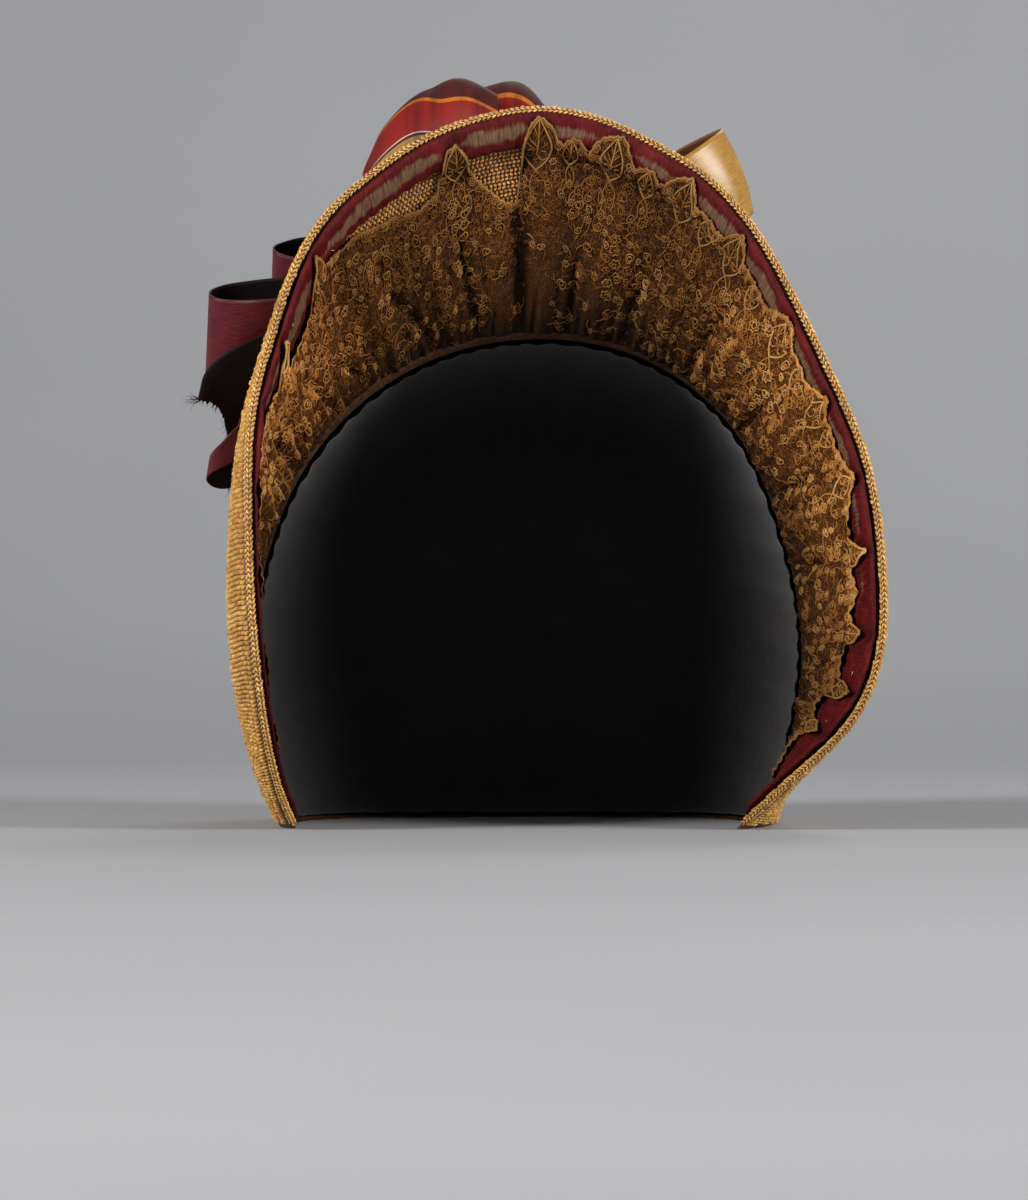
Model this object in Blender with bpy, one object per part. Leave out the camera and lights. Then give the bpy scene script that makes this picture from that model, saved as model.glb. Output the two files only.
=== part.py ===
# Poke bonnet: straw brim and crown, plaited rim, velvet roll, gathered lace frill,
# lining and ribbon trim. Metres, +Z up, the open front of the brim looks along -Y.
# It stands on the flat lower edge of the straw.
import bpy
import numpy as np

MM = 0.001

# ---------------------------------------------------------------- driving sizes (mm)
STRAW = 2.0  # thickness of the straw wall
GAP = 0.35  # clear space between touching pieces
BRAID_R = 1.2  # radius of the rim plait
ROLL_HIGH = 3.2  # height of the velvet roll over the straw
ROLL_EDGE = 2.9  # rim to the near side of the roll
LACE = 0.9  # thickness of the lace layer
LINING = 0.9
RIBBON = 0.8  # thickness of a ribbon layer
JOINT_GAP, JOINT_LEAN = 0.3, 1.1  # clear space at the joint, more where the brim stands up
CROWN_MID_Z = 64.0  # height of the crown's own axis

# Outer edge of the rim from the left end round the top to the right end.
RIM = (
    # name, x, y, z
    ("left_end", -63.7, -28.0, 0.0),
    ("left_foot", -68.5, -50.0, 14.1),
    ("left_low", -72.2, -68.0, 36.2),
    ("left_cheek", -74.6, -74.0, 63.3),
    ("left_side", -75.5, -73.0, 90.3),
    ("left_temple", -73.6, -66.0, 121.6),
    ("left_bend", -70.2, -62.0, 134.0),
    ("left_shoulder", -63.1, -56.0, 156.0),
    ("left_rise", -54.2, -52.0, 170.4),
    ("left_upper", -43.3, -50.0, 180.4),
    ("left_arch", -29.6, -48.0, 189.8),
    ("left_crest", -13.2, -47.0, 196.2),
    ("crest", 3.2, -47.0, 198.7),
    ("right_crest", 19.7, -47.0, 195.9),
    ("right_arch", 34.7, -50.0, 188.9),
    ("right_upper", 47.5, -53.0, 180.8),
    ("right_rise", 61.0, -57.0, 166.3),
    ("right_shoulder", 73.3, -63.0, 144.3),
    ("right_temple", 83.8, -69.0, 121.5),
    ("right_side", 91.2, -73.0, 102.5),
    ("right_cheek", 96.0, -75.0, 68.7),
    ("right_flare", 96.0, -74.0, 55.2),
    ("right_low", 90.9, -69.0, 35.7),
    ("right_foot", 74.3, -52.0, 16.3),
    ("right_end", 57.2, -32.0, 0.0),
)
# Joint between brim and crown, from the left end round the top to the right end.
JOINT = (
    # name, x, y, z
    ("left_end", -67.5, 5.0, 0.0),
    ("left_foot", -73.0, 3.0, 18.0),
    ("left_low", -77.5, 1.0, 42.0),
    ("left_cheek", -77.0, 0.0, 60.0),
    ("left_side", -72.8, -1.0, 79.0),
    ("left_temple", -66.0, -3.0, 95.5),
    ("left_rise", -56.0, -5.0, 110.0),
    ("left_upper", -43.0, -7.0, 122.0),
    ("left_arch", -25.0, -9.0, 131.8),
    ("crest", 2.0, -10.0, 136.8),
    ("right_arch", 31.0, -9.0, 131.8),
    ("right_upper", 47.0, -7.0, 122.5),
    ("right_rise", 58.5, -5.0, 111.0),
    ("right_temple", 67.0, -3.0, 96.0),
    ("right_side", 72.8, -1.0, 79.5),
    ("right_cheek", 77.0, 0.0, 61.0),
    ("right_low", 77.5, 1.0, 42.0),
    ("right_foot", 73.0, 3.0, 18.0),
    ("right_end", 67.5, 5.0, 0.0),
)
# Lower side of the crown's oval, cut away at the neck: it only closes the shape.
UNDER = (
    # name, x, y, z
    ("right_turn", 62.0, 6.0, -7.0),
    ("right_under", 36.0, 8.0, -12.0),
    ("middle", 0.0, 9.0, -13.5),
    ("left_under", -36.0, 8.0, -12.0),
    ("left_turn", -62.0, 6.0, -7.0),
)
# How far the brim swells outward between joint and rim.
SWELL = (
    # along the rim 0..1, mm
    (0.00, 2.5),
    (0.10, 4.5),
    (0.22, 6.0),
    (0.32, 5.0),
    (0.42, 0.0),
    (0.50, -3.5),
    (0.60, -2.5),
    (0.75, 1.0),
    (0.88, 2.0),
    (1.00, 2.0),
)
# Crown from the joint to the pole at the back.
CROWN = (
    # name, y, scale of the joint's oval
    ("behind_joint", 8.0, 1.012),
    ("band", 24.0, 1.015),
    ("side", 42.0, 0.985),
    ("swell", 60.0, 0.925),
    ("turn", 76.0, 0.835),
    ("shoulder", 89.0, 0.705),
    ("back", 98.5, 0.54),
    ("tip", 104.5, 0.35),
    ("cap", 107.5, 0.16),
)
POLE_Y = 108.3
# Inner side of the velvet roll: it is wider where the brim runs back steeply.
ROLL = (
    # along the rim 0..1, distance from the rim (mm)
    (0.000, 10.7),
    (0.200, 10.7),
    (0.235, 12.0),
    (0.262, 17.0),
    (0.290, 22.0),
    (0.322, 20.5),
    (0.343, 15.0),
    (0.362, 11.4),
    (0.420, 10.7),
    (0.760, 10.7),
    (0.785, 14.5),
    (0.830, 19.5),
    (0.865, 24.5),
    (0.900, 29.0),
    (0.945, 29.0),
    (1.000, 27.0),
)
# Lace points along the free edge: each reaches over the velvet roll.
LACE_POINTS = (
    # along the rim 0..1, distance of the tip from the rim (mm), half width (mm)
    (0.2595, 9.5, 5.5),
    (0.2955, 3.5, 6.5),
    (0.3440, 3.0, 7.0),
    (0.4445, 4.0, 6.0),
    (0.4915, 2.2, 7.0),
    (0.5375, 2.2, 6.5),
    (0.5835, 2.2, 6.5),
    (0.6245, 2.2, 6.5),
    (0.6770, 2.2, 6.5),
    (0.7225, 2.2, 6.5),
    (0.7660, 2.2, 6.5),
    (0.8045, 3.0, 6.5),
    (0.8480, 8.0, 6.0),
    (0.8830, 4.0, 6.5),
    (0.9135, 9.5, 6.0),
)
LACE_PAST = 0.3  # how far the lace edge stays past the roll between the points
# Pleats that run from the crown joint outward.
PLEATS = (
    # along the rim 0..1, depth (mm), half width (mm)
    (0.20, 1.2, 5.0),
    (0.26, 1.4, 5.0),
    (0.325, 2.0, 5.0),
    (0.375, 2.2, 5.0),
    (0.415, 2.0, 5.0),
    (0.462, 2.6, 5.0),
    (0.505, 2.2, 5.0),
    (0.548, 2.0, 5.0),
    (0.60, 2.2, 5.0),
    (0.65, 1.8, 5.0),
    (0.70, 1.8, 5.0),
    (0.755, 1.6, 5.0),
    (0.81, 1.6, 5.0),
    (0.865, 1.4, 5.0),
    (0.92, 1.2, 5.0),
)

# Ribbon bands: rows along the band, each with its middle and half its width.
LOOP_UPPER = (
    # name, x, y, z, half width x, y, z
    ("front_root", -55.0, -27.5, 146.0, 2.0, -5.0, 11.3),
    ("front", -65.0, -29.0, 146.3, 1.0, -5.0, 11.4),
    ("turn_front", -70.3, -25.0, 148.3, 0.5, -4.8, 11.5),
    ("turn_back", -70.5, -19.0, 150.3, 0.5, -4.6, 11.6),
    ("back", -65.0, -14.5, 152.3, 0.5, -4.6, 11.6),
    ("back_root", -54.0, -14.5, 153.0, 0.5, -4.6, 11.6),
)
LOOP_LOWER = (
    # name, x, y, z, half width x, y, z
    ("front_root", -70.2, -44.5, 135.2, 4.6, -4.2, 10.8),
    ("front", -79.5, -46.0, 133.8, 1.4, -4.7, 11.4),
    ("turn_front", -86.8, -41.5, 134.8, 0.7, -4.7, 11.5),
    ("turn_back", -87.8, -35.0, 137.0, 0.7, -4.7, 11.5),
    ("back", -81.0, -30.5, 139.3, 0.7, -4.7, 11.5),
    ("back_root", -69.0, -31.0, 141.5, 3.0, -4.7, 11.0),
)
TAIL_DARK = (
    # name, x, y, z, half width x, y, z
    ("root", -73.5, -46.0, 126.0, 1.0, -6.5, 10.2),
    ("fall", -79.5, -45.5, 122.3, -1.5, -7.5, 9.3),
    ("lower", -84.0, -45.0, 117.8, -3.6, -8.0, 8.2),
    ("end", -86.4, -45.0, 112.6, -4.0, -8.0, 5.2),
)
TAIL_FOLDED = (
    # name, x, y, z, half width x, y, z
    ("root", -76.0, -50.4, 108.2, 0.3, -0.6, 5.4),
    ("face", -80.3, -52.2, 105.6, 0.5, -0.8, 4.7),
    ("turn", -84.6, -53.0, 102.4, 0.6, -1.0, 3.6),
    ("fold", -87.4, -51.4, 99.6, 0.5, -1.0, 3.0),
    ("under", -86.4, -48.6, 97.6, 0.5, -1.0, 3.0),
    ("back", -83.0, -46.8, 97.2, 0.5, -1.0, 3.4),
    ("end", -79.6, -46.0, 98.2, 0.5, -1.0, 3.6),
)
GOLD_LOOP = (
    # name, x, y, z, half width x, y, z
    ("front_root", 40.0, -35.5, 170.5, -5.5, -4.0, 10.2),
    ("front", 49.5, -35.5, 175.5, -5.0, -3.0, 10.9),
    ("turn_front", 56.0, -32.0, 180.2, -4.8, -1.5, 11.3),
    ("turn_back", 57.8, -26.5, 182.3, -4.6, -1.0, 11.4),
    ("back", 51.0, -21.5, 179.5, -4.8, -1.0, 11.3),
    ("back_root", 38.0, -20.5, 172.0, -5.0, -1.0, 11.2),
)
# Striped puffs: arches across the valley between brim and crown.
PUFF_LEFT = (
    # name, x, front foot y, z, crest y, z, back foot y, z
    ("left_end", -45.5, -34.0, 166.0, -31.0, 181.5, -24.0, 148.0),
    ("left", -40.5, -35.0, 166.0, -29.5, 192.5, -19.0, 143.0),
    ("rise", -33.0, -35.5, 167.5, -28.0, 200.8, -17.0, 140.5),
    ("high", -24.5, -36.0, 170.0, -29.0, 206.0, -21.5, 153.0),
    ("crest", -16.0, -36.5, 174.5, -31.0, 206.4, -25.5, 162.0),
    ("right_end", -8.5, -36.5, 176.5, -33.0, 202.5, -28.0, 167.0),
)
PUFF_RIGHT = (
    # name, x, front foot y, z, crest y, z, back foot y, z
    ("left_end", -19.0, -14.0, 149.0, -8.0, 197.0, 1.0, 139.0),
    ("left", -13.5, -15.5, 151.5, -9.5, 206.0, 2.0, 139.5),
    ("crest", -7.5, -17.0, 153.0, -10.5, 207.8, 2.0, 139.5),
    ("fall", -1.0, -18.0, 154.0, -11.5, 206.6, 1.0, 139.5),
    ("right", 4.0, -18.0, 154.0, -12.0, 202.5, -1.0, 139.5),
    ("right_end", 6.5, -18.0, 153.5, -13.0, 196.5, -3.0, 139.5),
)
BELOW_FRAME = 60.0  # depth of the block that trims the neck edge

COLOURS = (
    # slot, red, green, blue, roughness, metallic
    ("straw", 0.46, 0.29, 0.10, 0.55, 0.0),
    ("straw_plait", 0.54, 0.35, 0.13, 0.5, 0.0),
    ("burgundy_velvet", 0.10, 0.020, 0.030, 0.75, 0.0),
    ("ecru_lace", 0.27, 0.13, 0.035, 0.85, 0.0),
    ("black_lining", 0.006, 0.005, 0.006, 0.8, 0.0),
    ("burgundy_satin", 0.10, 0.010, 0.028, 0.38, 0.0),
    ("striped_ribbon", 0.36, 0.018, 0.025, 0.5, 0.0),
    ("gold_satin", 0.52, 0.34, 0.12, 0.4, 0.0),
)


# ---------------------------------------------------------------- shape helpers
def spline(points, at):
    """A natural cubic through the rows, by chord length, read at shares 0..1."""
    p = np.array(points, float)
    d = np.concatenate([[0], np.cumsum(np.linalg.norm(np.diff(p, axis=0), axis=1))])
    n, h = len(p), np.diff(d)
    m, r = np.zeros((n, n)), np.zeros((n, p.shape[1]))
    m[0, 0] = m[-1, -1] = 1
    for i in range(1, n - 1):
        m[i, i - 1 : i + 2] = h[i - 1], 2 * (h[i - 1] + h[i]), h[i]
        r[i] = 6 * ((p[i + 1] - p[i]) / h[i] - (p[i] - p[i - 1]) / h[i - 1])
    s = np.linalg.solve(m, r)
    x = np.clip(np.asarray(at, float), 0, 1) * d[-1]
    k = np.clip(np.searchsorted(d, x, side="right") - 1, 0, n - 2)
    a, b, w = (d[k + 1] - x)[:, None], (x - d[k])[:, None], h[k][:, None]
    return (
        s[k] * a**3 / (6 * w)
        + s[k + 1] * b**3 / (6 * w)
        + (p[k] / w - s[k] * w / 6) * a
        + (p[k + 1] / w - s[k + 1] * w / 6) * b
    )


class Curve:
    """A table's curve, read evenly by its own length."""

    def __init__(self, rows):
        self.rows = [r[1:4] for r in rows]
        self.fine = np.linspace(0, 1, 2001)
        p = spline(self.rows, self.fine)
        d = np.concatenate([[0], np.cumsum(np.linalg.norm(np.diff(p, axis=0), axis=1))])
        self.length, self.share = d[-1], d / d[-1]

    def at(self, u):
        return spline(self.rows, np.interp(u, self.share, self.fine))


rim, joint = Curve(RIM), Curve(JOINT)


def unit(v):
    return v / np.maximum(np.linalg.norm(v, axis=-1, keepdims=True), 1e-9)


def brim_frame(u):
    """Joint, rim, outward direction and length of the brim's section at u, the
    length as measured square to the rim."""
    j, r = joint.at(u), rim.at(u)
    along = rim.at(np.minimum(u + 0.002, 1)) - rim.at(np.maximum(u - 0.002, 0))
    across = unit(r - j)
    out = unit(np.cross(across, along))
    level = np.clip(np.minimum(u, 1 - u) / 0.03, 0, 1)
    out[:, 2] *= level  # the ends stay in the plane of the neck edge
    square = np.linalg.norm(np.cross(unit(along), r - j), axis=1)
    return j, r, unit(out), square


def brim(u, t, off=0.0):
    """A point of the brim: u along the rim, t from the joint 0 to the rim 1."""
    u, t = np.broadcast_arrays(np.asarray(u, float), np.asarray(t, float))
    shape, u, t = u.shape, u.ravel(), t.ravel()
    j, r, out, _ = brim_frame(u)
    swell = np.interp(u, [s[0] for s in SWELL], [s[1] for s in SWELL])
    off = np.broadcast_to(off, shape).ravel()
    lean = (swell * 4 * (1 - 2 * t) / np.linalg.norm(r - j, axis=1))[:, None]
    normal = unit(out - lean * unit(r - j))
    normal[:, 2] *= np.clip(np.minimum(u, 1 - u) / 0.03, 0, 1)
    normal = unit(normal)
    p = j + (r - j) * t[:, None] + out * (swell * 4 * t * (1 - t))[:, None]
    return (p + normal * off[:, None]).reshape(shape + (3,))


def from_rim(u, far):
    """t of the place this many mm in from the rim, square to it."""
    return 1 - far / brim_frame(np.ravel(u))[3]


def oval(n):
    """The closed oval of the crown, joint over the top and back under the neck."""
    m = int(n * 0.74)
    top = joint.at(np.linspace(0, 1, m))
    rows = [JOINT[-1][1:4]] + [r[1:4] for r in UNDER] + [JOINT[0][1:4]]
    under = spline(rows, np.linspace(0, 1, n - m + 2))[1:-1]
    return np.concatenate([top, under])


def joint_space(u):
    """How far each of brim and crown keeps from the joint."""
    j, r = joint.at(u), rim.at(u)
    return JOINT_GAP + JOINT_LEAN * np.clip(unit(r - j)[:, 2], 0, 1)


def crown_rings(n, off):
    """Rings of the crown, pushed out by off, and its pole."""
    ring = oval(n)
    m = int(n * 0.74)
    start = np.full(n, JOINT_GAP)
    start[:m] = joint_space(np.linspace(0, 1, m))
    middle = np.array([0.0, 0.0, CROWN_MID_Z])
    rows = [(ring[:, 1] + start, 1.004)] + [(np.full(n, r[1]), r[2]) for r in CROWN]
    rows[1] = (0.75 * rows[1][0] + 0.25 * (ring[:, 1] + start + 8), CROWN[0][2])
    flat = ring * [1, 0, 1]
    rings = np.array([middle * [1, 0, 1] + (flat - middle) * k for _, k in rows])
    rings[:, :, 1] = [y for y, _ in rows]
    around = np.roll(rings, -1, 1) - np.roll(rings, 1, 1)
    back = np.gradient(rings, axis=0)
    normal = unit(np.cross(around, back))
    middles = rings.mean(1, keepdims=True)
    sign = np.sign((normal * (rings - middles)).sum(-1).mean())
    rings = rings + normal * sign * off
    rings[0, :, 1] = ring[:, 1] + start  # the front edge stays where it is
    return rings, np.array([middle[0], POLE_Y + off, middle[2]])


# ---------------------------------------------------------------- mesh helpers
materials = {}


def material(slot):
    if slot not in materials:
        _, r, g, b, rough, metal = next(c for c in COLOURS if c[0] == slot)
        m = bpy.data.materials.new(slot)
        m.use_nodes = True
        p = m.node_tree.nodes["Principled BSDF"]
        p.inputs["Base Color"].default_value = (r, g, b, 1)
        p.inputs["Roughness"].default_value = rough
        p.inputs["Metallic"].default_value = metal
        m.diffuse_color = (r, g, b, 1)
        materials[slot] = m
    return materials[slot]


def add(name, verts, faces, slot, smooth=True):
    me = bpy.data.meshes.new(name)
    me.from_pydata([tuple(v) for v in np.asarray(verts) * MM], [], faces)
    me.validate()
    me.update()
    me.materials.append(material(slot))
    me.polygons.foreach_set("use_smooth", [smooth] * len(me.polygons))
    ob = bpy.data.objects.new(name, me)
    bpy.context.scene.collection.objects.link(ob)
    return ob


def grid_faces(rows, cols, first, flip):
    f = []
    for i in range(rows - 1):
        for j in range(cols - 1):
            a = first + i * cols + j
            q = (a, a + cols, a + cols + 1, a + 1)
            f.append(q[::-1] if flip else q)
    return f


def slab(name, outer, inner, slot):
    """A closed sheet between two grids of points."""
    n, m = outer.shape[:2]
    v = np.concatenate([outer.reshape(-1, 3), inner.reshape(-1, 3)])
    f = grid_faces(n, m, 0, False) + grid_faces(n, m, n * m, True)
    ring = (
        [i * m for i in range(n)]
        + [(n - 1) * m + j for j in range(1, m)]
        + [i * m + m - 1 for i in range(n - 2, -1, -1)]
        + [j for j in range(m - 2, 0, -1)]
    )
    k = n * m
    for a, b in zip(ring, ring[1:] + ring[:1]):
        f.append((b, a, a + k, b + k))
    return facing(add(name, v, f, slot))


def tube(name, rings, slot):
    """A closed rod through rings of points, with an end point at each end."""
    n, m = rings.shape[:2]
    v = np.concatenate([rings.reshape(-1, 3), rings[:1].mean(1), rings[-1:].mean(1)])
    f = []
    for i in range(n - 1):
        for j in range(m):
            a, b = i * m + j, i * m + (j + 1) % m
            f.append((a, b, b + m, a + m))
    for j in range(m):
        k = (j + 1) % m
        f.append((n * m, k, j))
        f.append((n * m + 1, (n - 1) * m + j, (n - 1) * m + k))
    return facing(add(name, v, f, slot))


def dome(name, outer, inner, slot):
    """A closed shell between two sets of rings, each with its pole."""
    (ro, po), (ri, pi) = outer, inner
    n, m = ro.shape[:2]
    v = np.concatenate([ro.reshape(-1, 3), [po], ri.reshape(-1, 3), [pi]])
    k, f = n * m + 1, []
    for i in range(n - 1):
        for j in range(m):
            a, b = i * m + j, i * m + (j + 1) % m
            f.append((a, b, b + m, a + m))
            f.append((a + k, a + m + k, b + m + k, b + k))
    for j in range(m):
        a, b = (n - 1) * m + j, (n - 1) * m + (j + 1) % m
        f.append((a, b, k - 1))
        f.append((a + k, 2 * k - 1, b + k))
        c, d = j, (j + 1) % m
        f.append((d, c, c + k, d + k))
    return facing(add(name, v, f, slot))


def facing(ob):
    """Turns the faces outward."""
    me = ob.data
    me.calc_loop_triangles()
    v = np.array([x.co for x in me.vertices])
    t = v[[tuple(x.vertices) for x in me.loop_triangles]]
    volume = np.einsum("ij,ij->i", t[:, 0], np.cross(t[:, 1], t[:, 2])).sum()
    if volume < 0:
        me.flip_normals()
    return ob


def trim_below(ob, height):
    """Cuts everything under this height away, which leaves a flat neck edge."""
    s, d = 160 * MM, BELOW_FRAME * MM
    corners = [
        (x, y, z) for x in (-s, s) for y in (-s, s) for z in (height * MM - d, height * MM)
    ]
    faces = [
        (0, 1, 3, 2), (4, 6, 7, 5), (0, 4, 5, 1), (2, 3, 7, 6), (0, 2, 6, 4), (1, 5, 7, 3)
    ]
    box = add(ob.name + "_trim", np.array(corners) / MM, faces, "straw", False)
    box.data.materials.clear()
    box.hide_render = True
    box.display_type = "WIRE"
    cut = ob.modifiers.new("neck_edge", "BOOLEAN")
    cut.operation, cut.solver, cut.object = "DIFFERENCE", "EXACT", box
    return box


def straw_samples():
    """Points spread over the outside of the straw, with their outward directions."""
    u, t = np.meshgrid(np.linspace(0, 1, 161), np.linspace(0, 1, 41), indexing="ij")
    a, b = brim(u, t, 0.0), brim(u, t, 1.0)
    rings, pole = crown_rings(96, 0.0)
    outer, _ = crown_rings(96, 1.0)
    outer[0] = rings[0] + (outer[1] - rings[1])
    p = np.concatenate([a.reshape(-1, 3), rings.reshape(-1, 3), [pole]])
    q = np.concatenate([b.reshape(-1, 3), outer.reshape(-1, 3), [pole + [0, 1, 0]]])
    return p, unit(q - p)


def clear_of_straw(mid, thick):
    """Moves a ribbon's points out until they lie against the straw, never in it."""
    p, normal = samples
    least = STRAW / 2 + GAP + thick / 2 + 0.25
    flat = mid.reshape(-1, 3).copy()
    for _ in range(4):
        for i, x in enumerate(flat):
            k = np.argsort(((p - x) ** 2).sum(1))[:3]
            d = ((x - p[k]) * normal[k]).sum(1)
            j = int(np.argmin(d))
            if d[j] < least and np.linalg.norm(x - p[k[0]]) < 14:
                flat[i] = x + normal[k[j]] * (least - d[j])
    return flat.reshape(mid.shape)


def thicken(mid, thick):
    """Two grids of points on either side of a ribbon's middle."""
    normal = unit(np.cross(np.gradient(mid, axis=0), np.gradient(mid, axis=1)))
    return mid + normal * thick / 2, mid - normal * thick / 2


def band(rows, n, across, thick):
    """Two grids of points on either side of a ribbon."""
    table = [r[1:] for r in rows]
    p = spline(table, np.linspace(0, 1, n))
    c, h = p[:, :3], p[:, 3:]
    side = np.linspace(-1, 1, across)
    mid = c[:, None] + h[:, None] * side[None, :, None]
    return thicken(clear_of_straw(mid, thick), thick)


def puff(rows, n, across, thick):
    """Two grids of points on either side of an arched ribbon."""
    p = spline([r[1:] for r in rows], np.linspace(0, 1, n))
    t = np.linspace(0, 1, across)
    mid = np.zeros((n, across, 3))
    for i, (x, fy, fz, cy, cz, by, bz) in enumerate(p):
        over = np.array([(0, fy, fz), (0, fy - 0.5, cz - 6), (0, cy, cz), (0, (cy + by) / 2 + 0.18 * (by - cy), cz - 9), (0, by + 2, bz)])
        mid[i] = spline(over, t) + [x, 0, 0]
    return thicken(clear_of_straw(mid, thick), thick)


# ---------------------------------------------------------------- the pieces
for old in list(bpy.data.objects):
    bpy.data.objects.remove(old, do_unlink=True)

made, cutters = [], []
samples = straw_samples()

# Brim: from just off the joint to the inside of the rim plait.
u = np.linspace(0, 1, 65)
length = brim_frame(u)[3]
t = np.linspace(0, 1, 6)[None, :]
t_in = (joint_space(u) / length)[:, None]
t_out = 1 - ((2 * BRAID_R + GAP) / length)[:, None]
tt = t_in + (t_out - t_in) * t
uu = np.broadcast_to(u[:, None], tt.shape)
made.append(slab("brim_straw", brim(uu, tt, STRAW / 2), brim(uu, tt, -STRAW / 2), "straw"))

# Crown and its lining.
shell = dome(
    "crown_straw",
    crown_rings(42, STRAW / 2),
    crown_rings(42, -STRAW / 2),
    "straw",
)
made.append(shell)
cutters.append(trim_below(shell, 0.0))
inside = STRAW / 2 + GAP
lining = dome(
    "crown_lining",
    crown_rings(38, -inside),
    crown_rings(38, -inside - LINING),
    "black_lining",
)
made.append(lining)
cutters.append(trim_below(lining, 1.5))

# Rim plait.
u = np.linspace(0.007, 0.993, 73)
c = brim(u, from_rim(u, BRAID_R))
d = unit(np.gradient(c, axis=0))
a = unit(brim(u, from_rim(u, 0.0)) - c)
a = unit(a - d * (a * d).sum(1, keepdims=True))
b = np.cross(d, a)
w = np.linspace(0, 2 * np.pi, 6, endpoint=False)
ring = lambda c, a, b, ra, rb: (
    c[:, None]
    + a[:, None] * np.asarray(ra)[..., None, None] * np.cos(w)[None, :, None]
    + b[:, None] * np.asarray(rb)[..., None, None] * np.sin(w)[None, :, None]
)
made.append(tube("rim_braid", ring(c, a, b, np.full(len(u), BRAID_R), np.full(len(u), BRAID_R)), "straw_plait"))

# Velvet roll, laid on the brim, a little thinner at each lace point.
u = np.linspace(0.012, 0.985, 67)
pinch = np.ones(len(u))
for at, _, _ in LACE_POINTS:
    pinch -= 0.16 * np.exp(-(((u - at) / 0.006) ** 2))
ends = np.sqrt(np.clip(np.minimum(u - 0.010, 0.987 - u) / 0.006, 0.05, 1))
high = (ROLL_HIGH * pinch * ends)[:, None]
roll_end = np.interp(u, [r[0] for r in ROLL], [r[1] for r in ROLL])[:, None]
w = np.linspace(0, 2 * np.pi, 8, endpoint=False)[None, :]
near = ROLL_EDGE + (roll_end - ROLL_EDGE) * (1 - np.cos(w)) / 2
arch = np.sign(np.sin(w)) * np.abs(np.sin(w)) ** 0.8
room = GAP + 0.045 * (roll_end - 10.7)  # a wide roll bridges the brim's curve
lift = STRAW / 2 + room + high * (0.5 + 0.5 * arch)
tt = 1 - near / brim_frame(u)[3][:, None]
made.append(tube("velvet_roll", brim(np.broadcast_to(u[:, None], tt.shape), tt, -lift), "burgundy_velvet"))

# Lace frill: gathered at the joint, pleated, and lifted over the roll at its points.
u = np.linspace(0.03, 0.965, 81)
length = brim_frame(u)[3]
roll_end = np.interp(u, [r[0] for r in ROLL], [r[1] for r in ROLL])
edge = roll_end + LACE_PAST
for at, tip, half in LACE_POINTS:
    rise = (roll_end + LACE_PAST - tip) * np.clip(1 - np.abs((u - at) * rim.length / half), 0, 1) ** 0.8
    edge = np.minimum(edge, roll_end + LACE_PAST - rise)
inner = length - 4.0  # mm from the rim, as all of these
crease = roll_end + 5.2
near = np.stack(
    [
        inner,
        0.6 * inner + 0.4 * crease,
        0.25 * inner + 0.75 * crease,
        crease,
        crease - 2.6,
        np.maximum(crease - 4.8, edge + 0.6),
        edge,
    ],
    axis=1,
)
pleat = np.zeros(len(u))
for at, deep, half in PLEATS:
    pleat += deep * np.exp(-(((u - at) * rim.length / half) ** 2))
over = np.clip((crease[:, None] - 0.4 - near) / 4.8, 0, 1)
over = over * over * (3 - 2 * over)
part = np.clip((inner[:, None] - near) / (inner - crease)[:, None], 0, 1)
off = STRAW / 2 + GAP + LACE / 2 + 0.3 + pleat[:, None] * np.sin(np.pi * part)
off = off + (ROLL_HIGH + 0.6) * over
uu = np.broadcast_to(u[:, None], near.shape)
tt = 1 - near / length[:, None]
made.append(
    slab("lace_frill", brim(uu, tt, -off + LACE / 2), brim(uu, tt, -off - LACE / 2), "ecru_lace")
)

# Ribbon trim.
for name, rows, slot, n in (
    ("burgundy_loop_upper", LOOP_UPPER, "burgundy_satin", 15),
    ("burgundy_loop_lower", LOOP_LOWER, "burgundy_satin", 17),
    ("burgundy_tail_dark", TAIL_DARK, "burgundy_satin", 7),
    ("burgundy_tail_folded", TAIL_FOLDED, "burgundy_satin", 9),
    ("gold_loop", GOLD_LOOP, "gold_satin", 17),
):
    x, y = band(rows, n, 5, RIBBON)
    if name == "burgundy_tail_dark":  # swallow-tail end
        notch = np.array([1.0, 0.72, 0.5, 0.75, 1.0])
        for g in (x, y):
            g[-1] = g[-1] + (1 - notch)[:, None] * (g[-3] - g[-1]) * 0.8
    made.append(slab(name, x, y, slot))
for name, rows in (("striped_puff_left", PUFF_LEFT), ("striped_puff_right", PUFF_RIGHT)):
    x, y = puff(rows, 11, 13, RIBBON)
    made.append(slab(name, x, y, "striped_ribbon"))

# The finished hat is centred over the origin and stands on z = 0.
low, high = np.full(3, 1e9), np.full(3, -1e9)
bpy.context.view_layer.update()
deps = bpy.context.evaluated_depsgraph_get()
for ob in made:
    v = np.array([tuple(x.co) for x in ob.evaluated_get(deps).data.vertices])
    low, high = np.minimum(low, v.min(0)), np.maximum(high, v.max(0))
shift = -(low + high) / 2
shift[2] = -low[2]
for ob in made + cutters:
    v = np.array([tuple(x.co) for x in ob.data.vertices]) + shift
    ob.data.vertices.foreach_set("co", v.ravel())
    ob.data.update()
print("shift_mm", np.round(shift * 1000, 3).tolist(), "size_mm", np.round((high - low) * 1000, 2).tolist())
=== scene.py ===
import bpy
import numpy as np
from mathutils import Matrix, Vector
from mathutils.kdtree import KDTree


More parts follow.
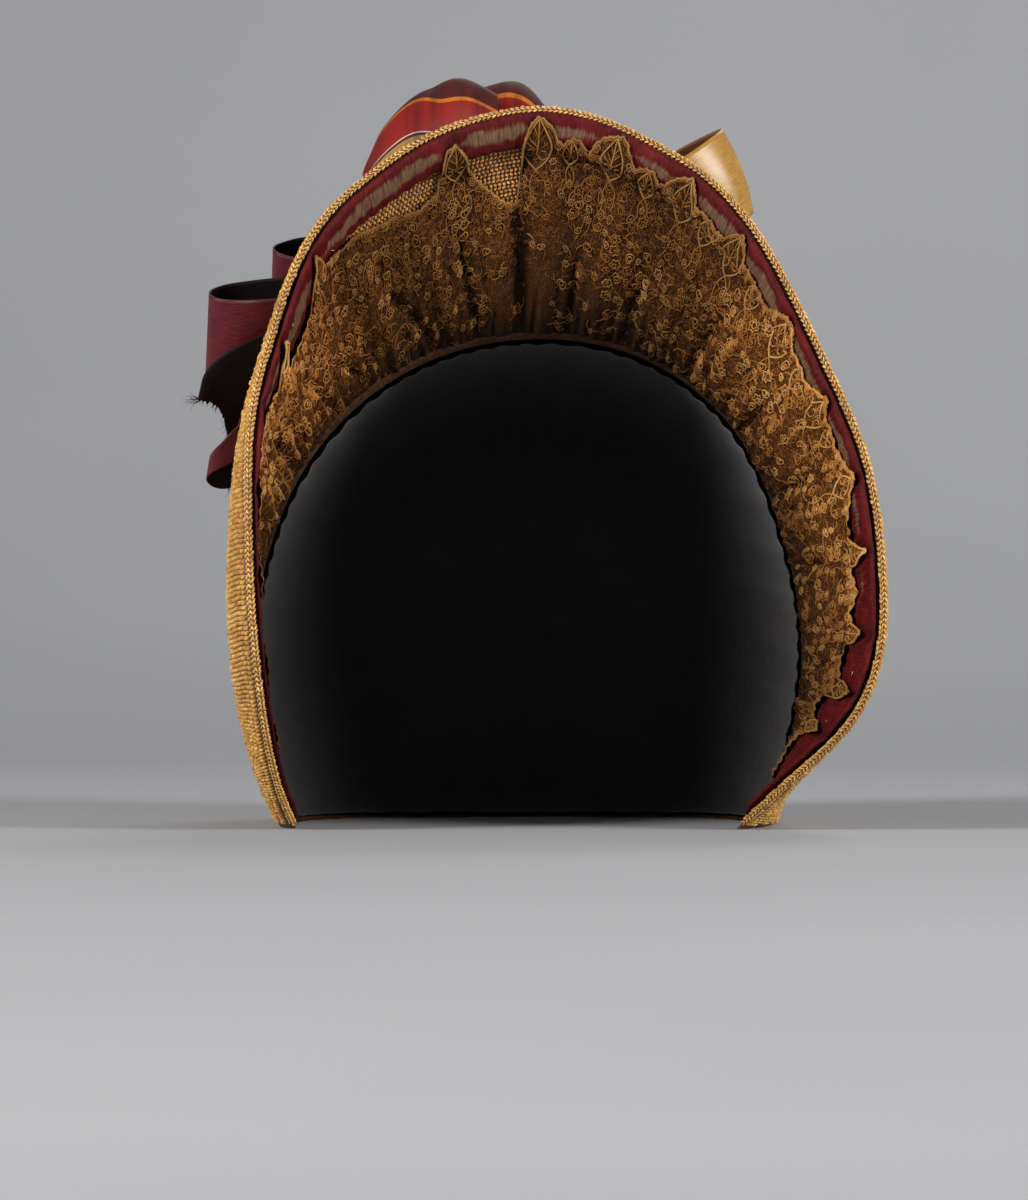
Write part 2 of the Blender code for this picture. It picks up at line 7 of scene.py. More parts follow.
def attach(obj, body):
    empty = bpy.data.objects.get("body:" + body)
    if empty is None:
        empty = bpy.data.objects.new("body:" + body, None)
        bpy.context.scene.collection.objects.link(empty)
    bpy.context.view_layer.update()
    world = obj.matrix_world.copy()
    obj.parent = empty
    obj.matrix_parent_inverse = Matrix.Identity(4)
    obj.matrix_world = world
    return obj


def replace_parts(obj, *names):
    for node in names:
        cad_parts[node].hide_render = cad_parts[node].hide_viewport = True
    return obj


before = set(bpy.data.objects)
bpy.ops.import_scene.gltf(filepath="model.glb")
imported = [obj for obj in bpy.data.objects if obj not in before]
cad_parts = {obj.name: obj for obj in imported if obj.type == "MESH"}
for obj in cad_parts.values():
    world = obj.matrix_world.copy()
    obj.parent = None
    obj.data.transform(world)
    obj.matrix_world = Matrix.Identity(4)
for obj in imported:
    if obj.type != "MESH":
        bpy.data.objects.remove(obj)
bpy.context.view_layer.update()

MM = 0.001
SHIFT = np.array([-3.187, -17.118, 0.0])  # from the tables' place to the row's frame
STRAW, GAP, BRAID_R = 2.0, 0.35, 1.08
ROLL_HIGH = 2.9
JOINT_GAP, JOINT_LEAN, CROWN_MID_Z, POLE_Y = 0.3, 1.1, 64.0, 108.3

RIM = (
    # x, y, z from the left end over the top to the right end
    (-63.7, -28.0, 0.0),
    (-68.5, -50.0, 14.1),
    (-72.2, -68.0, 36.2),
    (-74.6, -74.0, 63.3),
    (-75.5, -73.0, 90.3),
    (-73.6, -66.0, 121.6),
    (-70.2, -62.0, 134.0),
    (-63.1, -56.0, 156.0),
    (-54.2, -52.0, 170.4),
    (-43.3, -50.0, 180.4),
    (-29.6, -48.0, 189.8),
    (-13.2, -47.0, 196.2),
    (3.2, -47.0, 198.7),
    (19.7, -47.0, 195.9),
    (34.7, -50.0, 188.9),
    (47.5, -53.0, 180.8),
    (61.0, -57.0, 166.3),
    (73.3, -63.0, 144.3),
    (83.8, -69.0, 121.5),
    (91.2, -73.0, 102.5),
    (96.0, -75.0, 68.7),
    (96.0, -74.0, 55.2),
    (90.9, -69.0, 35.7),
    (74.3, -52.0, 16.3),
    (57.2, -32.0, 0.0),
)
JOINT = (
    # x, y, z of the joint between brim and crown
    (-67.5, 5.0, 0.0),
    (-73.0, 3.0, 18.0),
    (-77.5, 1.0, 42.0),
    (-77.0, 0.0, 60.0),
    (-72.8, -1.0, 79.0),
    (-66.0, -3.0, 95.5),
    (-56.0, -5.0, 110.0),
    (-43.0, -7.0, 122.0),
    (-25.0, -9.0, 131.8),
    (2.0, -10.0, 136.8),
    (31.0, -9.0, 131.8),
    (47.0, -7.0, 122.5),
    (58.5, -5.0, 111.0),
    (67.0, -3.0, 96.0),
    (72.8, -1.0, 79.5),
    (77.0, 0.0, 61.0),
    (77.5, 1.0, 42.0),
    (73.0, 3.0, 18.0),
    (67.5, 5.0, 0.0),
)
UNDER = (
    # x, y, z of the crown oval's lower side
    (62.0, 6.0, -7.0),
    (36.0, 8.0, -12.0),
    (0.0, 9.0, -13.5),
    (-36.0, 8.0, -12.0),
    (-62.0, 6.0, -7.0),
)
SWELL = (
    # along the rim, mm
    (0.00, 2.5),
    (0.10, 4.5),
    (0.22, 6.0),
    (0.32, 5.0),
    (0.42, 0.0),
    (0.50, -3.5),
    (0.60, -2.5),
    (0.75, 1.0),
    (0.88, 2.0),
    (1.00, 2.0),
)
CROWN = (
    # y, scale
    (8.0, 1.012),
    (24.0, 1.015),
    (42.0, 0.985),
    (60.0, 0.925),
    (76.0, 0.835),
    (89.0, 0.705),
    (98.5, 0.54),
    (104.5, 0.35),
    (107.5, 0.16),
)
# Free edge of the lace: how far it stays from the rim.
LACE_RIM = (
    # along the rim, mm from the rim
    (0.0300, 9.0),
    (0.0550, 12.0),
    (0.0800, 7.0),
    (0.1000, 12.0),
    (0.1220, 7.0),
    (0.1450, 12.5),
    (0.1680, 7.0),
    (0.1920, 12.5),
    (0.2140, 6.0),
    (0.2280, 12.0),
    (0.2355, 9.0),
    (0.2475, 15.0),
    (0.2595, 12.0),
    (0.2680, 19.0),
    (0.2880, 26.0),
    (0.2915, 20.0),
    (0.2950, 3.0),
    (0.2975, 8.5),
    (0.3010, 24.0),
    (0.3150, 22.0),
    (0.3295, 19.5),
    (0.3395, 17.5),
    (0.3425, 3.0),
    (0.3450, 8.0),
    (0.3645, 10.5),
    (0.3800, 14.0),
    (0.3970, 16.0),
    (0.4080, 17.0),
    (0.4210, 19.0),
    (0.4335, 17.0),
    (0.4365, 9.5),
    (0.4395, 5.0),
    (0.4445, 4.0),
    (0.4505, 8.0),
    (0.4525, 13.5),
    (0.4590, 18.5),
    (0.4670, 22.5),
    (0.4740, 25.5),
    (0.4815, 28.0),
    (0.4835, 18.0),
    (0.4845, 7.0),
    (0.4880, 3.2),
    (0.4915, 1.6),
    (0.4955, 3.0),
    (0.4995, 4.6),
    (0.5020, 7.4),
    (0.5060, 9.0),
    (0.5110, 6.5),
    (0.5170, 7.0),
    (0.5220, 10.5),
    (0.5255, 6.0),
    (0.5305, 3.4),
    (0.5365, 2.2),
    (0.5395, 1.4),
    (0.5440, 2.8),
    (0.5475, 5.6),
    (0.5510, 8.2),
    (0.5570, 6.3),
    (0.5615, 6.0),
    (0.5655, 8.2),
    (0.5695, 8.0),
    (0.5735, 4.8),
    (0.5785, 2.8),
    (0.5835, 1.6),
    (0.5885, 4.2),
    (0.5910, 7.4),
    (0.6020, 7.0),
    (0.6090, 8.0),
    (0.6155, 7.4),
    (0.6205, 3.4),
    (0.6245, 1.8),
    (0.6295, 3.0),
    (0.6345, 6.8),
    (0.6425, 7.0),
    (0.6515, 7.4),
    (0.6610, 8.4),
    (0.6670, 4.8),
    (0.6735, 2.4),
    (0.6770, 1.6),
    (0.6835, 2.6),
    (0.6880, 6.0),
    (0.6995, 6.2),
    (0.7070, 8.0),
    (0.7140, 4.6),
    (0.7215, 1.8),
    (0.7235, 1.6),
    (0.7295, 6.0),
    (0.7370, 6.0),
    (0.7460, 8.0),
    (0.7570, 5.0),
    (0.7660, 1.8),
    (0.7715, 5.5),
    (0.7770, 9.2),
    (0.7860, 14.5),
    (0.7920, 17.8),
    (0.7985, 13.0),
    (0.8045, 3.0),
    (0.8070, 9.0),
    (0.8100, 18.0),
    (0.8245, 11.5),
    (0.8300, 15.0),
    (0.8355, 21.0),
    (0.8430, 17.0),
    (0.8480, 8.0),
    (0.8510, 25.8),
    (0.8665, 25.2),
    (0.8760, 21.0),
    (0.8830, 4.0),
    (0.8850, 29.0),
    (0.8985, 31.5),
    (0.9080, 24.0),
    (0.9135, 9.5),
    (0.9170, 20.0),
    (0.9245, 26.2),
    (0.9370, 30.2),
    (0.9500, 27.0),
    (0.9650, 28.0),
)
# The velvet roll that faces the brim inside the rim.
ROLL = (
    # along the rim, mm from the rim of its inner side, share of worn grey with painted sheen
    (0.000, 10.5, 0.0),
    (0.200, 10.5, 0.0),
    (0.235, 12.0, 0.2),
    (0.262, 18.0, 0.8),
    (0.290, 23.5, 1.0),
    (0.322, 21.5, 1.0),
    (0.343, 15.0, 1.0),
    (0.362, 11.2, 0.9),
    (0.420, 10.6, 1.0),
    (0.485, 10.6, 0.9),
    (0.520, 10.8, 0.55),
    (0.560, 10.6, 0.6),
    (0.620, 10.4, 1.0),
    (0.760, 10.6, 1.0),
    (0.785, 15.0, 0.6),
    (0.830, 20.5, 0.35),
    (0.865, 26.0, 0.25),
    (0.900, 31.5, 0.25),
    (0.945, 31.0, 0.10),
    (0.990, 29.0, 0.0),
)
ROLL_START = 0.8
# Places where a lace motif hangs below its point.
MOTIFS = (
    # along the rim, mm from the rim, size
    (0.0800, 7.0, 0.90),
    (0.1220, 7.0, 0.90),
    (0.1680, 7.0, 0.90),
    (0.2140, 6.0, 0.90),
    (0.2595, 10.0, 0.85),
    (0.2955, 1.4, 0.95),
    (0.3440, 1.2, 1.00),
    (0.4445, 3.4, 1.00),
    (0.4915, 1.6, 1.25),
    (0.5110, 6.5, 0.70),
    (0.5375, 1.8, 1.10),
    (0.5595, 6.1, 0.75),
    (0.5835, 1.8, 1.10),
    (0.6020, 7.0, 0.75),
    (0.6245, 1.8, 1.10),
    (0.6470, 7.2, 0.75),
    (0.6770, 1.8, 1.10),
    (0.6995, 6.2, 0.75),
    (0.7225, 1.7, 1.05),
    (0.7370, 6.0, 0.75),
    (0.7660, 2.0, 1.05),
    (0.8045, 1.2, 0.95),
    (0.8480, 7.0, 0.90),
    (0.8830, 2.2, 0.95),
    (0.9135, 8.2, 0.85),
)
# Folds that run from the crown joint outward; the deep ones are creases.
FOLDS = (
    # along the rim at the joint, height (mm), half width (mm), lean along the rim, reach
    (0.100, 1.2, 6.0, 0.000, 0.90),
    (0.165, 1.4, 6.0, 0.000, 0.90),
    (0.200, -1.4, 2.4, 0.000, 0.60),
    (0.240, 1.4, 5.5, 0.000, 0.90),
    (0.278, -1.8, 2.0, -0.010, 0.60),
    (0.305, 1.6, 5.5, -0.010, 0.90),
    (0.332, -2.0, 1.8, -0.030, 0.50),
    (0.368, -2.6, 1.7, -0.075, 0.42),
    (0.390, 1.4, 5.0, -0.020, 0.95),
    (0.423, -3.2, 1.8, -0.060, 0.55),
    (0.440, 1.5, 3.5, -0.030, 0.95),
    (0.457, -3.2, 1.8, -0.020, 0.66),
    (0.474, 1.3, 4.0, -0.010, 0.80),
    (0.4905, -3.4, 2.2, -0.010, 1.00),
    (0.507, 1.8, 4.0, -0.010, 1.20),
    (0.528, -1.8, 2.2, -0.004, 0.55),
    (0.548, 1.3, 4.5, 0.000, 0.95),
    (0.572, -2.0, 2.4, 0.004, 0.62),
    (0.600, 1.2, 5.5, 0.006, 0.95),
    (0.628, -2.0, 2.2, 0.010, 0.70),
    (0.655, 1.3, 5.5, 0.006, 0.95),
    (0.688, -1.6, 2.4, 0.010, 0.55),
    (0.712, 1.2, 5.5, 0.004, 0.95),
    (0.742, -2.0, 2.2, 0.010, 0.66),
    (0.772, 1.2, 5.5, 0.000, 0.95),
    (0.800, -1.6, 2.4, 0.004, 0.60),
    (0.832, 1.2, 6.0, 0.000, 0.95),
    (0.870, -1.4, 2.6, 0.000, 0.60),
    (0.905, 1.2, 6.0, 0.000, 0.95),
)
# Short white stitches that hold the lace to the roll.
WHITE_STITCHES = (
    # along the rim, mm from the rim, length (mm), turn (degrees)
    (0.563, 7.5, 1.5, 20),
    (0.606, 8.5, 1.3, -30),
    (0.641, 8.0, 1.6, 40),
    (0.652, 8.6, 1.3, -10),
    (0.694, 7.8, 1.5, 35),
    (0.703, 8.4, 1.2, -25),
    (0.8700, 9.2, 1.2, 10),
    (0.905, 9.4, 1.4, 50),
    (0.358, 7.6, 1.2, 30),
    (0.310, 7.4, 1.1, -20),
)

LOOP_UPPER = (
    # x, y, z, half width x, y, z
    (-55.0, -27.5, 146.0, 2.0, -5.0, 11.3),
    (-65.0, -29.0, 146.3, 1.0, -5.0, 11.4),
    (-70.3, -25.0, 148.3, 0.5, -4.8, 11.5),
    (-70.5, -19.0, 150.3, 0.5, -4.6, 11.6),
    (-65.0, -14.5, 152.3, 0.5, -4.6, 11.6),
    (-54.0, -14.5, 153.0, 0.5, -4.6, 11.6),
)
LOOP_LOWER = (
    (-70.2, -44.5, 135.2, 4.6, -4.2, 10.8),
    (-79.5, -46.0, 133.8, 1.4, -4.7, 11.4),
    (-86.8, -41.5, 134.8, 0.7, -4.7, 11.5),
    (-87.8, -35.0, 137.0, 0.7, -4.7, 11.5),
    (-81.0, -30.5, 139.3, 0.7, -4.7, 11.5),
    (-69.0, -31.0, 141.5, 3.0, -4.7, 11.0),
)
TAIL_DARK = (
    (-73.5, -46.0, 126.0, 1.0, -6.5, 10.2),
    (-79.5, -45.5, 122.3, -1.5, -7.5, 9.3),
    (-84.0, -45.0, 117.8, -3.6, -8.0, 8.2),
    (-86.4, -45.0, 112.6, -4.0, -8.0, 5.2),
)
TAIL_FOLDED = (
    (-76.0, -50.4, 108.2, 0.3, -0.6, 5.4),
    (-80.3, -52.2, 105.6, 0.5, -0.8, 4.7),
    (-84.6, -53.0, 102.4, 0.6, -1.0, 3.6),
    (-87.4, -51.4, 99.6, 0.5, -1.0, 3.0),
    (-86.4, -48.6, 97.6, 0.5, -1.0, 3.0),
    (-83.0, -46.8, 97.2, 0.5, -1.0, 3.4),
    (-79.6, -46.0, 98.2, 0.5, -1.0, 3.6),
)
GOLD_LOOP = (
    (40.0, -35.5, 170.5, -5.5, -4.0, 10.2),
    (49.5, -35.5, 175.5, -5.0, -3.0, 10.9),
    (56.0, -32.0, 180.2, -4.8, -1.5, 11.3),
    (57.8, -26.5, 182.3, -4.6, -1.0, 11.4),
    (51.0, -21.5, 179.5, -4.8, -1.0, 11.3),
    (38.0, -20.5, 172.0, -5.0, -1.0, 11.2),
)
PUFF_LEFT = (
    # x, front foot y, z, crest y, z, back foot y, z
    (-45.5, -34.0, 166.0, -31.0, 181.5, -24.0, 148.0),
    (-40.5, -35.0, 166.0, -29.5, 192.5, -19.0, 143.0),
    (-33.0, -35.5, 167.5, -28.0, 200.8, -17.0, 140.5),
    (-24.5, -36.0, 170.0, -29.0, 206.0, -21.5, 153.0),
    (-16.0, -36.5, 174.5, -31.0, 206.4, -25.5, 162.0),
    (-8.5, -36.5, 176.5, -33.0, 202.5, -28.0, 167.0),
)
PUFF_RIGHT = (
    (-19.0, -14.0, 149.0, -8.0, 197.0, 1.0, 139.0),
    (-13.5, -15.5, 151.5, -9.5, 206.0, 2.0, 139.5),
    (-7.5, -17.0, 153.0, -10.5, 207.8, 2.0, 139.5),
    (-1.0, -18.0, 154.0, -11.5, 206.6, 1.0, 139.5),
    (4.0, -18.0, 154.0, -12.0, 202.5, -1.0, 139.5),
    (6.5, -18.0, 153.5, -13.0, 196.5, -3.0, 139.5),
)


# ---------------------------------------------------------------- curves and surfaces
def spline(points, at, share=None):
    """A natural cubic through the rows, by chord length, read at shares 0..1."""
    p = np.array(points, float)
    if share is None:
        share = np.concatenate([[0], np.cumsum(np.linalg.norm(np.diff(p, axis=0), axis=1))])
    d = share
    n, h = len(p), np.diff(d)
    m, r = np.zeros((n, n)), np.zeros((n, p.shape[1]))
    m[0, 0] = m[-1, -1] = 1
    for i in range(1, n - 1):
        m[i, i - 1 : i + 2] = h[i - 1], 2 * (h[i - 1] + h[i]), h[i]
        r[i] = 6 * ((p[i + 1] - p[i]) / h[i] - (p[i] - p[i - 1]) / h[i - 1])
    s = np.linalg.solve(m, r)
    x = np.clip(np.asarray(at, float), 0, 1) * d[-1]
    k = np.clip(np.searchsorted(d, x, side="right") - 1, 0, n - 2)
    a, b, w = (d[k + 1] - x)[:, None], (x - d[k])[:, None], h[k][:, None]
    return (
        s[k] * a**3 / (6 * w)
        + s[k + 1] * b**3 / (6 * w)
        + (p[k] / w - s[k] * w / 6) * a
        + (p[k + 1] / w - s[k + 1] * w / 6) * b
    )


class Curve:
    """A table's curve, read evenly by its own length."""

    def __init__(self, rows):
        self.rows, self.fine = rows, np.linspace(0, 1, 2001)
        p = spline(self.rows, self.fine)
        d = np.concatenate([[0], np.cumsum(np.linalg.norm(np.diff(p, axis=0), axis=1))])
        self.length, self.share = d[-1], d / d[-1]

    def at(self, u):
        return spline(self.rows, np.interp(u, self.share, self.fine))


rim, joint = Curve(RIM), Curve(JOINT)


def unit(v):
    return v / np.maximum(np.linalg.norm(v, axis=-1, keepdims=True), 1e-9)


def brim_frame(u):
    j, r = joint.at(u), rim.at(u)
    along = rim.at(np.minimum(u + 0.002, 1)) - rim.at(np.maximum(u - 0.002, 0))
    out = unit(np.cross(unit(r - j), along))
    out[:, 2] *= np.clip(np.minimum(u, 1 - u) / 0.03, 0, 1)
    return j, r, unit(out), np.linalg.norm(np.cross(unit(along), r - j), axis=1)


FINE_U = np.linspace(0, 1, 3001)
FINE_J, FINE_R, FINE_OUT, FINE_LEN = brim_frame(FINE_U)
FINE_SWELL = np.interp(FINE_U, [s[0] for s in SWELL], [s[1] for s in SWELL])
FINE_SWELL = np.convolve(np.pad(FINE_SWELL, 60, mode="edge"), np.ones(121) / 121, "valid")
FINE_SPAN = np.linalg.norm(FINE_R - FINE_J, axis=1)
# Motifs are longer where the brim runs back steeply.
FINE_STEEP = np.clip((np.linalg.norm((FINE_R - FINE_J)[:, [0, 2]], axis=1) / FINE_SPAN) ** -0.8, 1.0, 2.0)


def eased(rows, column, half):
    v = np.interp(FINE_U, [x[0] for x in rows], [x[column] for x in rows])
    return np.convolve(np.pad(v, half, mode="edge"), np.ones(2 * half + 1) / (2 * half + 1), "valid")


FINE_ROLL, FINE_WORN_SHEEN = eased(ROLL, 1, 18), eased(ROLL, 2, 25)


def read(table, u):
    x = np.clip(u, 0, 1) * (len(table) - 1)
    k = np.minimum(x.astype(int), len(table) - 2)
    w = x - k
    if table.ndim == 2:
        w = w[:, None]
    return table[k] * (1 - w) + table[k + 1] * w


def brim(u, near, off=0.0):
    """A point of the brim: u along the rim, near mm in from it, off mm outward."""
    u, near, off = np.broadcast_arrays(
        np.asarray(u, float), np.asarray(near, float), np.asarray(off, float)
    )
    shape = u.shape
    u, near, off = u.ravel(), near.ravel(), off.ravel()
    j, r, out = read(FINE_J, u), read(FINE_R, u), unit(read(FINE_OUT, u))
    length, swell, span = read(FINE_LEN, u), read(FINE_SWELL, u), read(FINE_SPAN, u)
    t = 1 - near / length
    bow = np.clip(t, 0, 1)
    normal = unit(out - (swell * 4 * (1 - 2 * bow) / span)[:, None] * unit(r - j))
    normal[:, 2] *= np.clip(np.minimum(u, 1 - u) / 0.03, 0, 1)
    p = j + (r - j) * t[:, None] + out * (swell * 4 * bow * (1 - bow))[:, None]
    return (p + unit(normal) * off[:, None]).reshape(shape + (3,))


class Surface:
    """A dense grid of points that can be read anywhere, with its normals."""

    def __init__(self, grid, toward):
        self.p = grid
        n = unit(np.cross(np.gradient(grid, axis=0), np.gradient(grid, axis=1)))
        if (n * toward).sum(-1).mean() < 0:
            n = -n
        self.n = n
        self.da = np.linalg.norm(np.gradient(grid, axis=0), axis=-1) * (grid.shape[0] - 1)
        self.db = np.linalg.norm(np.gradient(grid, axis=1), axis=-1) * (grid.shape[1] - 1)

    def _mix(self, table, a, b):
        n, m = self.p.shape[:2]
        x, y = np.clip(a, 0, 1) * (n - 1), np.clip(b, 0, 1) * (m - 1)
        i, k = np.minimum(x.astype(int), n - 2), np.minimum(y.astype(int), m - 2)
        x, y = x - i, y - k
        if table.ndim == 3:
            x, y = x[..., None], y[..., None]
        return (
            table[i, k] * (1 - x) * (1 - y)
            + table[i + 1, k] * x * (1 - y)
            + table[i, k + 1] * (1 - x) * y
            + table[i + 1, k + 1] * x * y
        )

    def at(self, a, b, off=0.0):
        a, b, off = np.broadcast_arrays(
            np.asarray(a, float), np.asarray(b, float), np.asarray(off, float)
        )
        return self._mix(self.p, a, b) + self._mix(self.n, a, b) * off[..., None]

    def normal(self, a, b):
        return unit(self._mix(self.n, np.asarray(a, float), np.asarray(b, float)))

    def scale(self, a, b):
        """mm for each unit of a and of b."""
        return self._mix(self.da, a, b), self._mix(self.db, a, b)


# ---------------------------------------------------------------- materials
def srgb(r, g, b):
    c = np.array([r, g, b], float) / 255
    c = np.where(c <= 0.04045, c / 12.92, ((c + 0.055) / 1.055) ** 2.4)
    return (float(c[0]), float(c[1]), float(c[2]), 1.0)


class Mat:
    """A material with short calls for its nodes."""

    def __init__(self, name):
        self.m = bpy.data.materials.new(name)
        self.m.use_nodes = True
        self.t = self.m.node_tree
        self.p = self.t.nodes["Principled BSDF"]

    def node(self, kind, inputs=None, **props):
        n = self.t.nodes.new("ShaderNode" + kind)
        for k, v in props.items():
            setattr(n, k, v)
        for k, v in (inputs or {}).items():
            self.put(n, k, v)
        return n

    def put(self, n, key, v):
        s = n.inputs[key]
        if isinstance(v, bpy.types.NodeSocket):
            self.t.links.new(v, s)
        else:
            s.default_value = v

    def math(self, op, a, b=None, c=None, clamp=False):
        n = self.node("Math", operation=op, use_clamp=clamp)
        for i, v in enumerate((a, b, c)):
            if v is not None:
                self.put(n, i, v)
        return n.outputs[0]

    def mix(self, f, a, b, kind="MIX"):
        n = self.node("Mix", data_type="RGBA", blend_type=kind)
        self.put(n, 0, f)
        self.put(n, 6, a)
        self.put(n, 7, b)
        return n.outputs[2]

    def ramp(self, v, *stops, smooth=False):
        n = self.node("ValToRGB")
        n.color_ramp.interpolation = "EASE" if smooth else "LINEAR"
        e = n.color_ramp.elements
        while len(e) < len(stops):
            e.new(0.5)
        for x, (pos, col) in zip(e, stops):
            x.position = pos
            x.color = col if hasattr(col, "__len__") else (col, col, col, 1)
        self.put(n, 0, v)
        return n.outputs[0]

    def noise(self, vector, scale, detail=2.0, rough=0.5, distortion=0.0):
        n = self.node("TexNoise", {"Scale": scale, "Detail": detail, "Roughness": rough, "Distortion": distortion})
        self.put(n, "Vector", vector)
        return n.outputs[0]

    def place(self):
        return self.node("TexCoord").outputs["Object"]

    def uv(self, sx=1.0, sy=1.0):
        u = self.node("UVMap", uv_map="OFBake").outputs[0]
        return self.node("Mapping", {"Vector": u, "Scale": (sx, sy, 1)}).outputs[0]

    def look(self):
        """Tone, tint and mark, kept on the mesh's points."""
        a = self.node("Attribute", attribute_name="look").outputs["Color"]
        s = self.node("SeparateColor", {"Color": a})
        return s.outputs[0], s.outputs[1], s.outputs[2]

    def bump(self, height, strength, distance):
        n = self.node("Bump", {"Strength": strength, "Distance": distance, "Height": height})
        self.t.links.new(n.outputs[0], self.p.inputs["Normal"])

    def set(self, **kw):
        for k, v in kw.items():
            self.put(self.p, k.replace("_", " "), v)
        return self.m


def straw_material(name, crest, body, deep):
    m = Mat(name)
    tone, tint, mark = m.look()
    where = m.place()
    # Painted light: tone darkens each stitch towards its foot (painted shade) and lightens its crest (painted
    # highlight).
    c = m.ramp(tone, (0.0, deep), (0.45, body), (1.0, crest))
    c = m.mix(m.math("MULTIPLY", tint, 0.55), c, m.mix(0.5, body, srgb(146, 96, 40)))
    cloud = m.noise(where, 55.0, 3.0)
    c = m.mix(m.ramp(cloud, (0.42, 0.0), (0.72, 0.42)), c, srgb(120, 74, 28))
    fine = m.noise(where, 900.0, 2.0)
    c = m.mix(m.ramp(fine, (0.5, 0.0), (0.8, 0.22)), c, crest)
    shine = m.math("MULTIPLY_ADD", m.noise(where, 420.0, 2.0), 0.24, 0.22)
    m.bump(m.noise(where, 1500.0, 2.0), 0.25, 0.0002)
    return m.set(Base_Color=c, Roughness=shine)


straw = straw_material("straw_stitch", srgb(255, 214, 128), srgb(184, 126, 50), srgb(40, 20, 4))
straw_in = straw_material("straw_inside_stitch", srgb(236, 176, 84), srgb(158, 102, 38), srgb(48, 24, 6))
straw_rim = straw_material("straw_rim_stitch", srgb(255, 216, 132), srgb(196, 138, 58), srgb(40, 20, 4))


def straw_under():
    m = Mat("straw_ground")
    where = m.place()
    # Painted shade: the ground under the stitches is dark brown, for the shade between them.
    c = m.ramp(m.noise(where, 700.0, 3.0), (0.3, srgb(46, 26, 8)), (0.7, srgb(88, 54, 20)))
    m.bump(m.noise(where, 1100.0, 2.0), 0.5, 0.0004)
    return m.set(Base_Color=c, Roughness=0.6)


def velvet():
    m = Mat("velvet_puffs")
    tone, tint, mark = m.look()  # tone: across the roll, tint: pinch, painted shade in the pinches and creases, mark: worn grey on the lit crest, partly painted sheen
    where, uv = m.place(), m.uv(900.0, 7.0)
    drift = m.noise(where, 160.0, 3.0)
    hair = m.noise(uv, 1.0, 2.0, 0.6)
    patch = m.math("MULTIPLY_ADD", m.math("SUBTRACT", m.noise(m.uv(150.0, 4.0), 1.0, 3.0), 0.5), 1.3, mark)
    patch = m.math("MULTIPLY_ADD", m.math("SUBTRACT", hair, 0.5), 0.5, patch)
    # worn_sheen: worn grey pile on the crests, partly a painted sheen where light catches them
    worn_sheen = m.ramp(patch, (0.38, 0.0), (0.85, 0.86))
    worn_sheen = m.math("MULTIPLY", worn_sheen, m.math("SUBTRACT", 1.0, m.math("MULTIPLY", tint, 0.6), clamp=True))
    wine = m.ramp(hair, (0.3, srgb(50, 6, 7)), (0.7, srgb(92, 17, 18)))
    rub = m.ramp(drift, (0.5, 0.0), (0.75, 0.5))
    wine = m.mix(rub, wine, srgb(112, 30, 27))
    grey = m.ramp(hair, (0.28, srgb(84, 60, 44)), (0.55, srgb(108, 84, 64)), (0.8, srgb(138, 112, 84)))
    c = m.mix(worn_sheen, wine, grey)
    # Painted shade in the pinches and creases, and darker where the roll is flat at the lower left.
    c = m.mix(m.math("MULTIPLY", tint, 0.72), c, srgb(34, 4, 8))
    m.bump(m.math("ADD", m.math("MULTIPLY", hair, 0.8), m.math("MULTIPLY", drift, 0.5)), 0.5, 0.0006)
    rough = m.math("MULTIPLY_ADD", hair, 0.2, 0.5)
    m.set(Base_Color=c, Roughness=rough)
    m.p.inputs["Specular IOR Level"].default_value = 0.12
    m.p.inputs["Sheen Weight"].default_value = 0.05
    m.p.inputs["Sheen Roughness"].default_value = 0.4
    m.p.inputs["Sheen Tint"].default_value = srgb(205, 110, 96)
    return m.m


LACE_WIDE, LACE_DEEP = 500.0, 78.0  # mm along and across, as the lace lies


def painted_lace_shade(m, c):
    """Painted shade: the lace's brown is darkened towards the head, at the top of the brim and at its ends, where
    shade falls.
    """
    where = m.place()
    v = m.node("VectorMath", {0: where, 1: (-0.0016, 0.0, 0.062)}, operation="SUBTRACT").outputs[0]
    v = m.node("VectorMath", {0: v, 1: (1.0, 0.0, 1.0)}, operation="MULTIPLY").outputs[0]
    far = m.node("VectorMath", {0: v}, operation="LENGTH").outputs["Value"]
    high = m.math("DIVIDE", m.node("SeparateXYZ", {"Vector": v}).outputs[2], far)  # 1 at the top, 0 at the sides
    turn = m.ramp(m.math("MULTIPLY_ADD", high, 0.5, 0.5), (0.36, 0.45), (0.56, 1.0), (0.85, 1.0), (0.96, 0.46))
    low = m.math("MULTIPLY", m.ramp(far, (0.073, 0.25), (0.082, 0.72), (0.093, 1.0)), turn)
    grey = m.node("CombineColor", {0: low, 1: low, 2: m.math("POWER", low, 1.15)}).outputs[0]
    return m.mix(1.0, c, grey, kind="MULTIPLY")


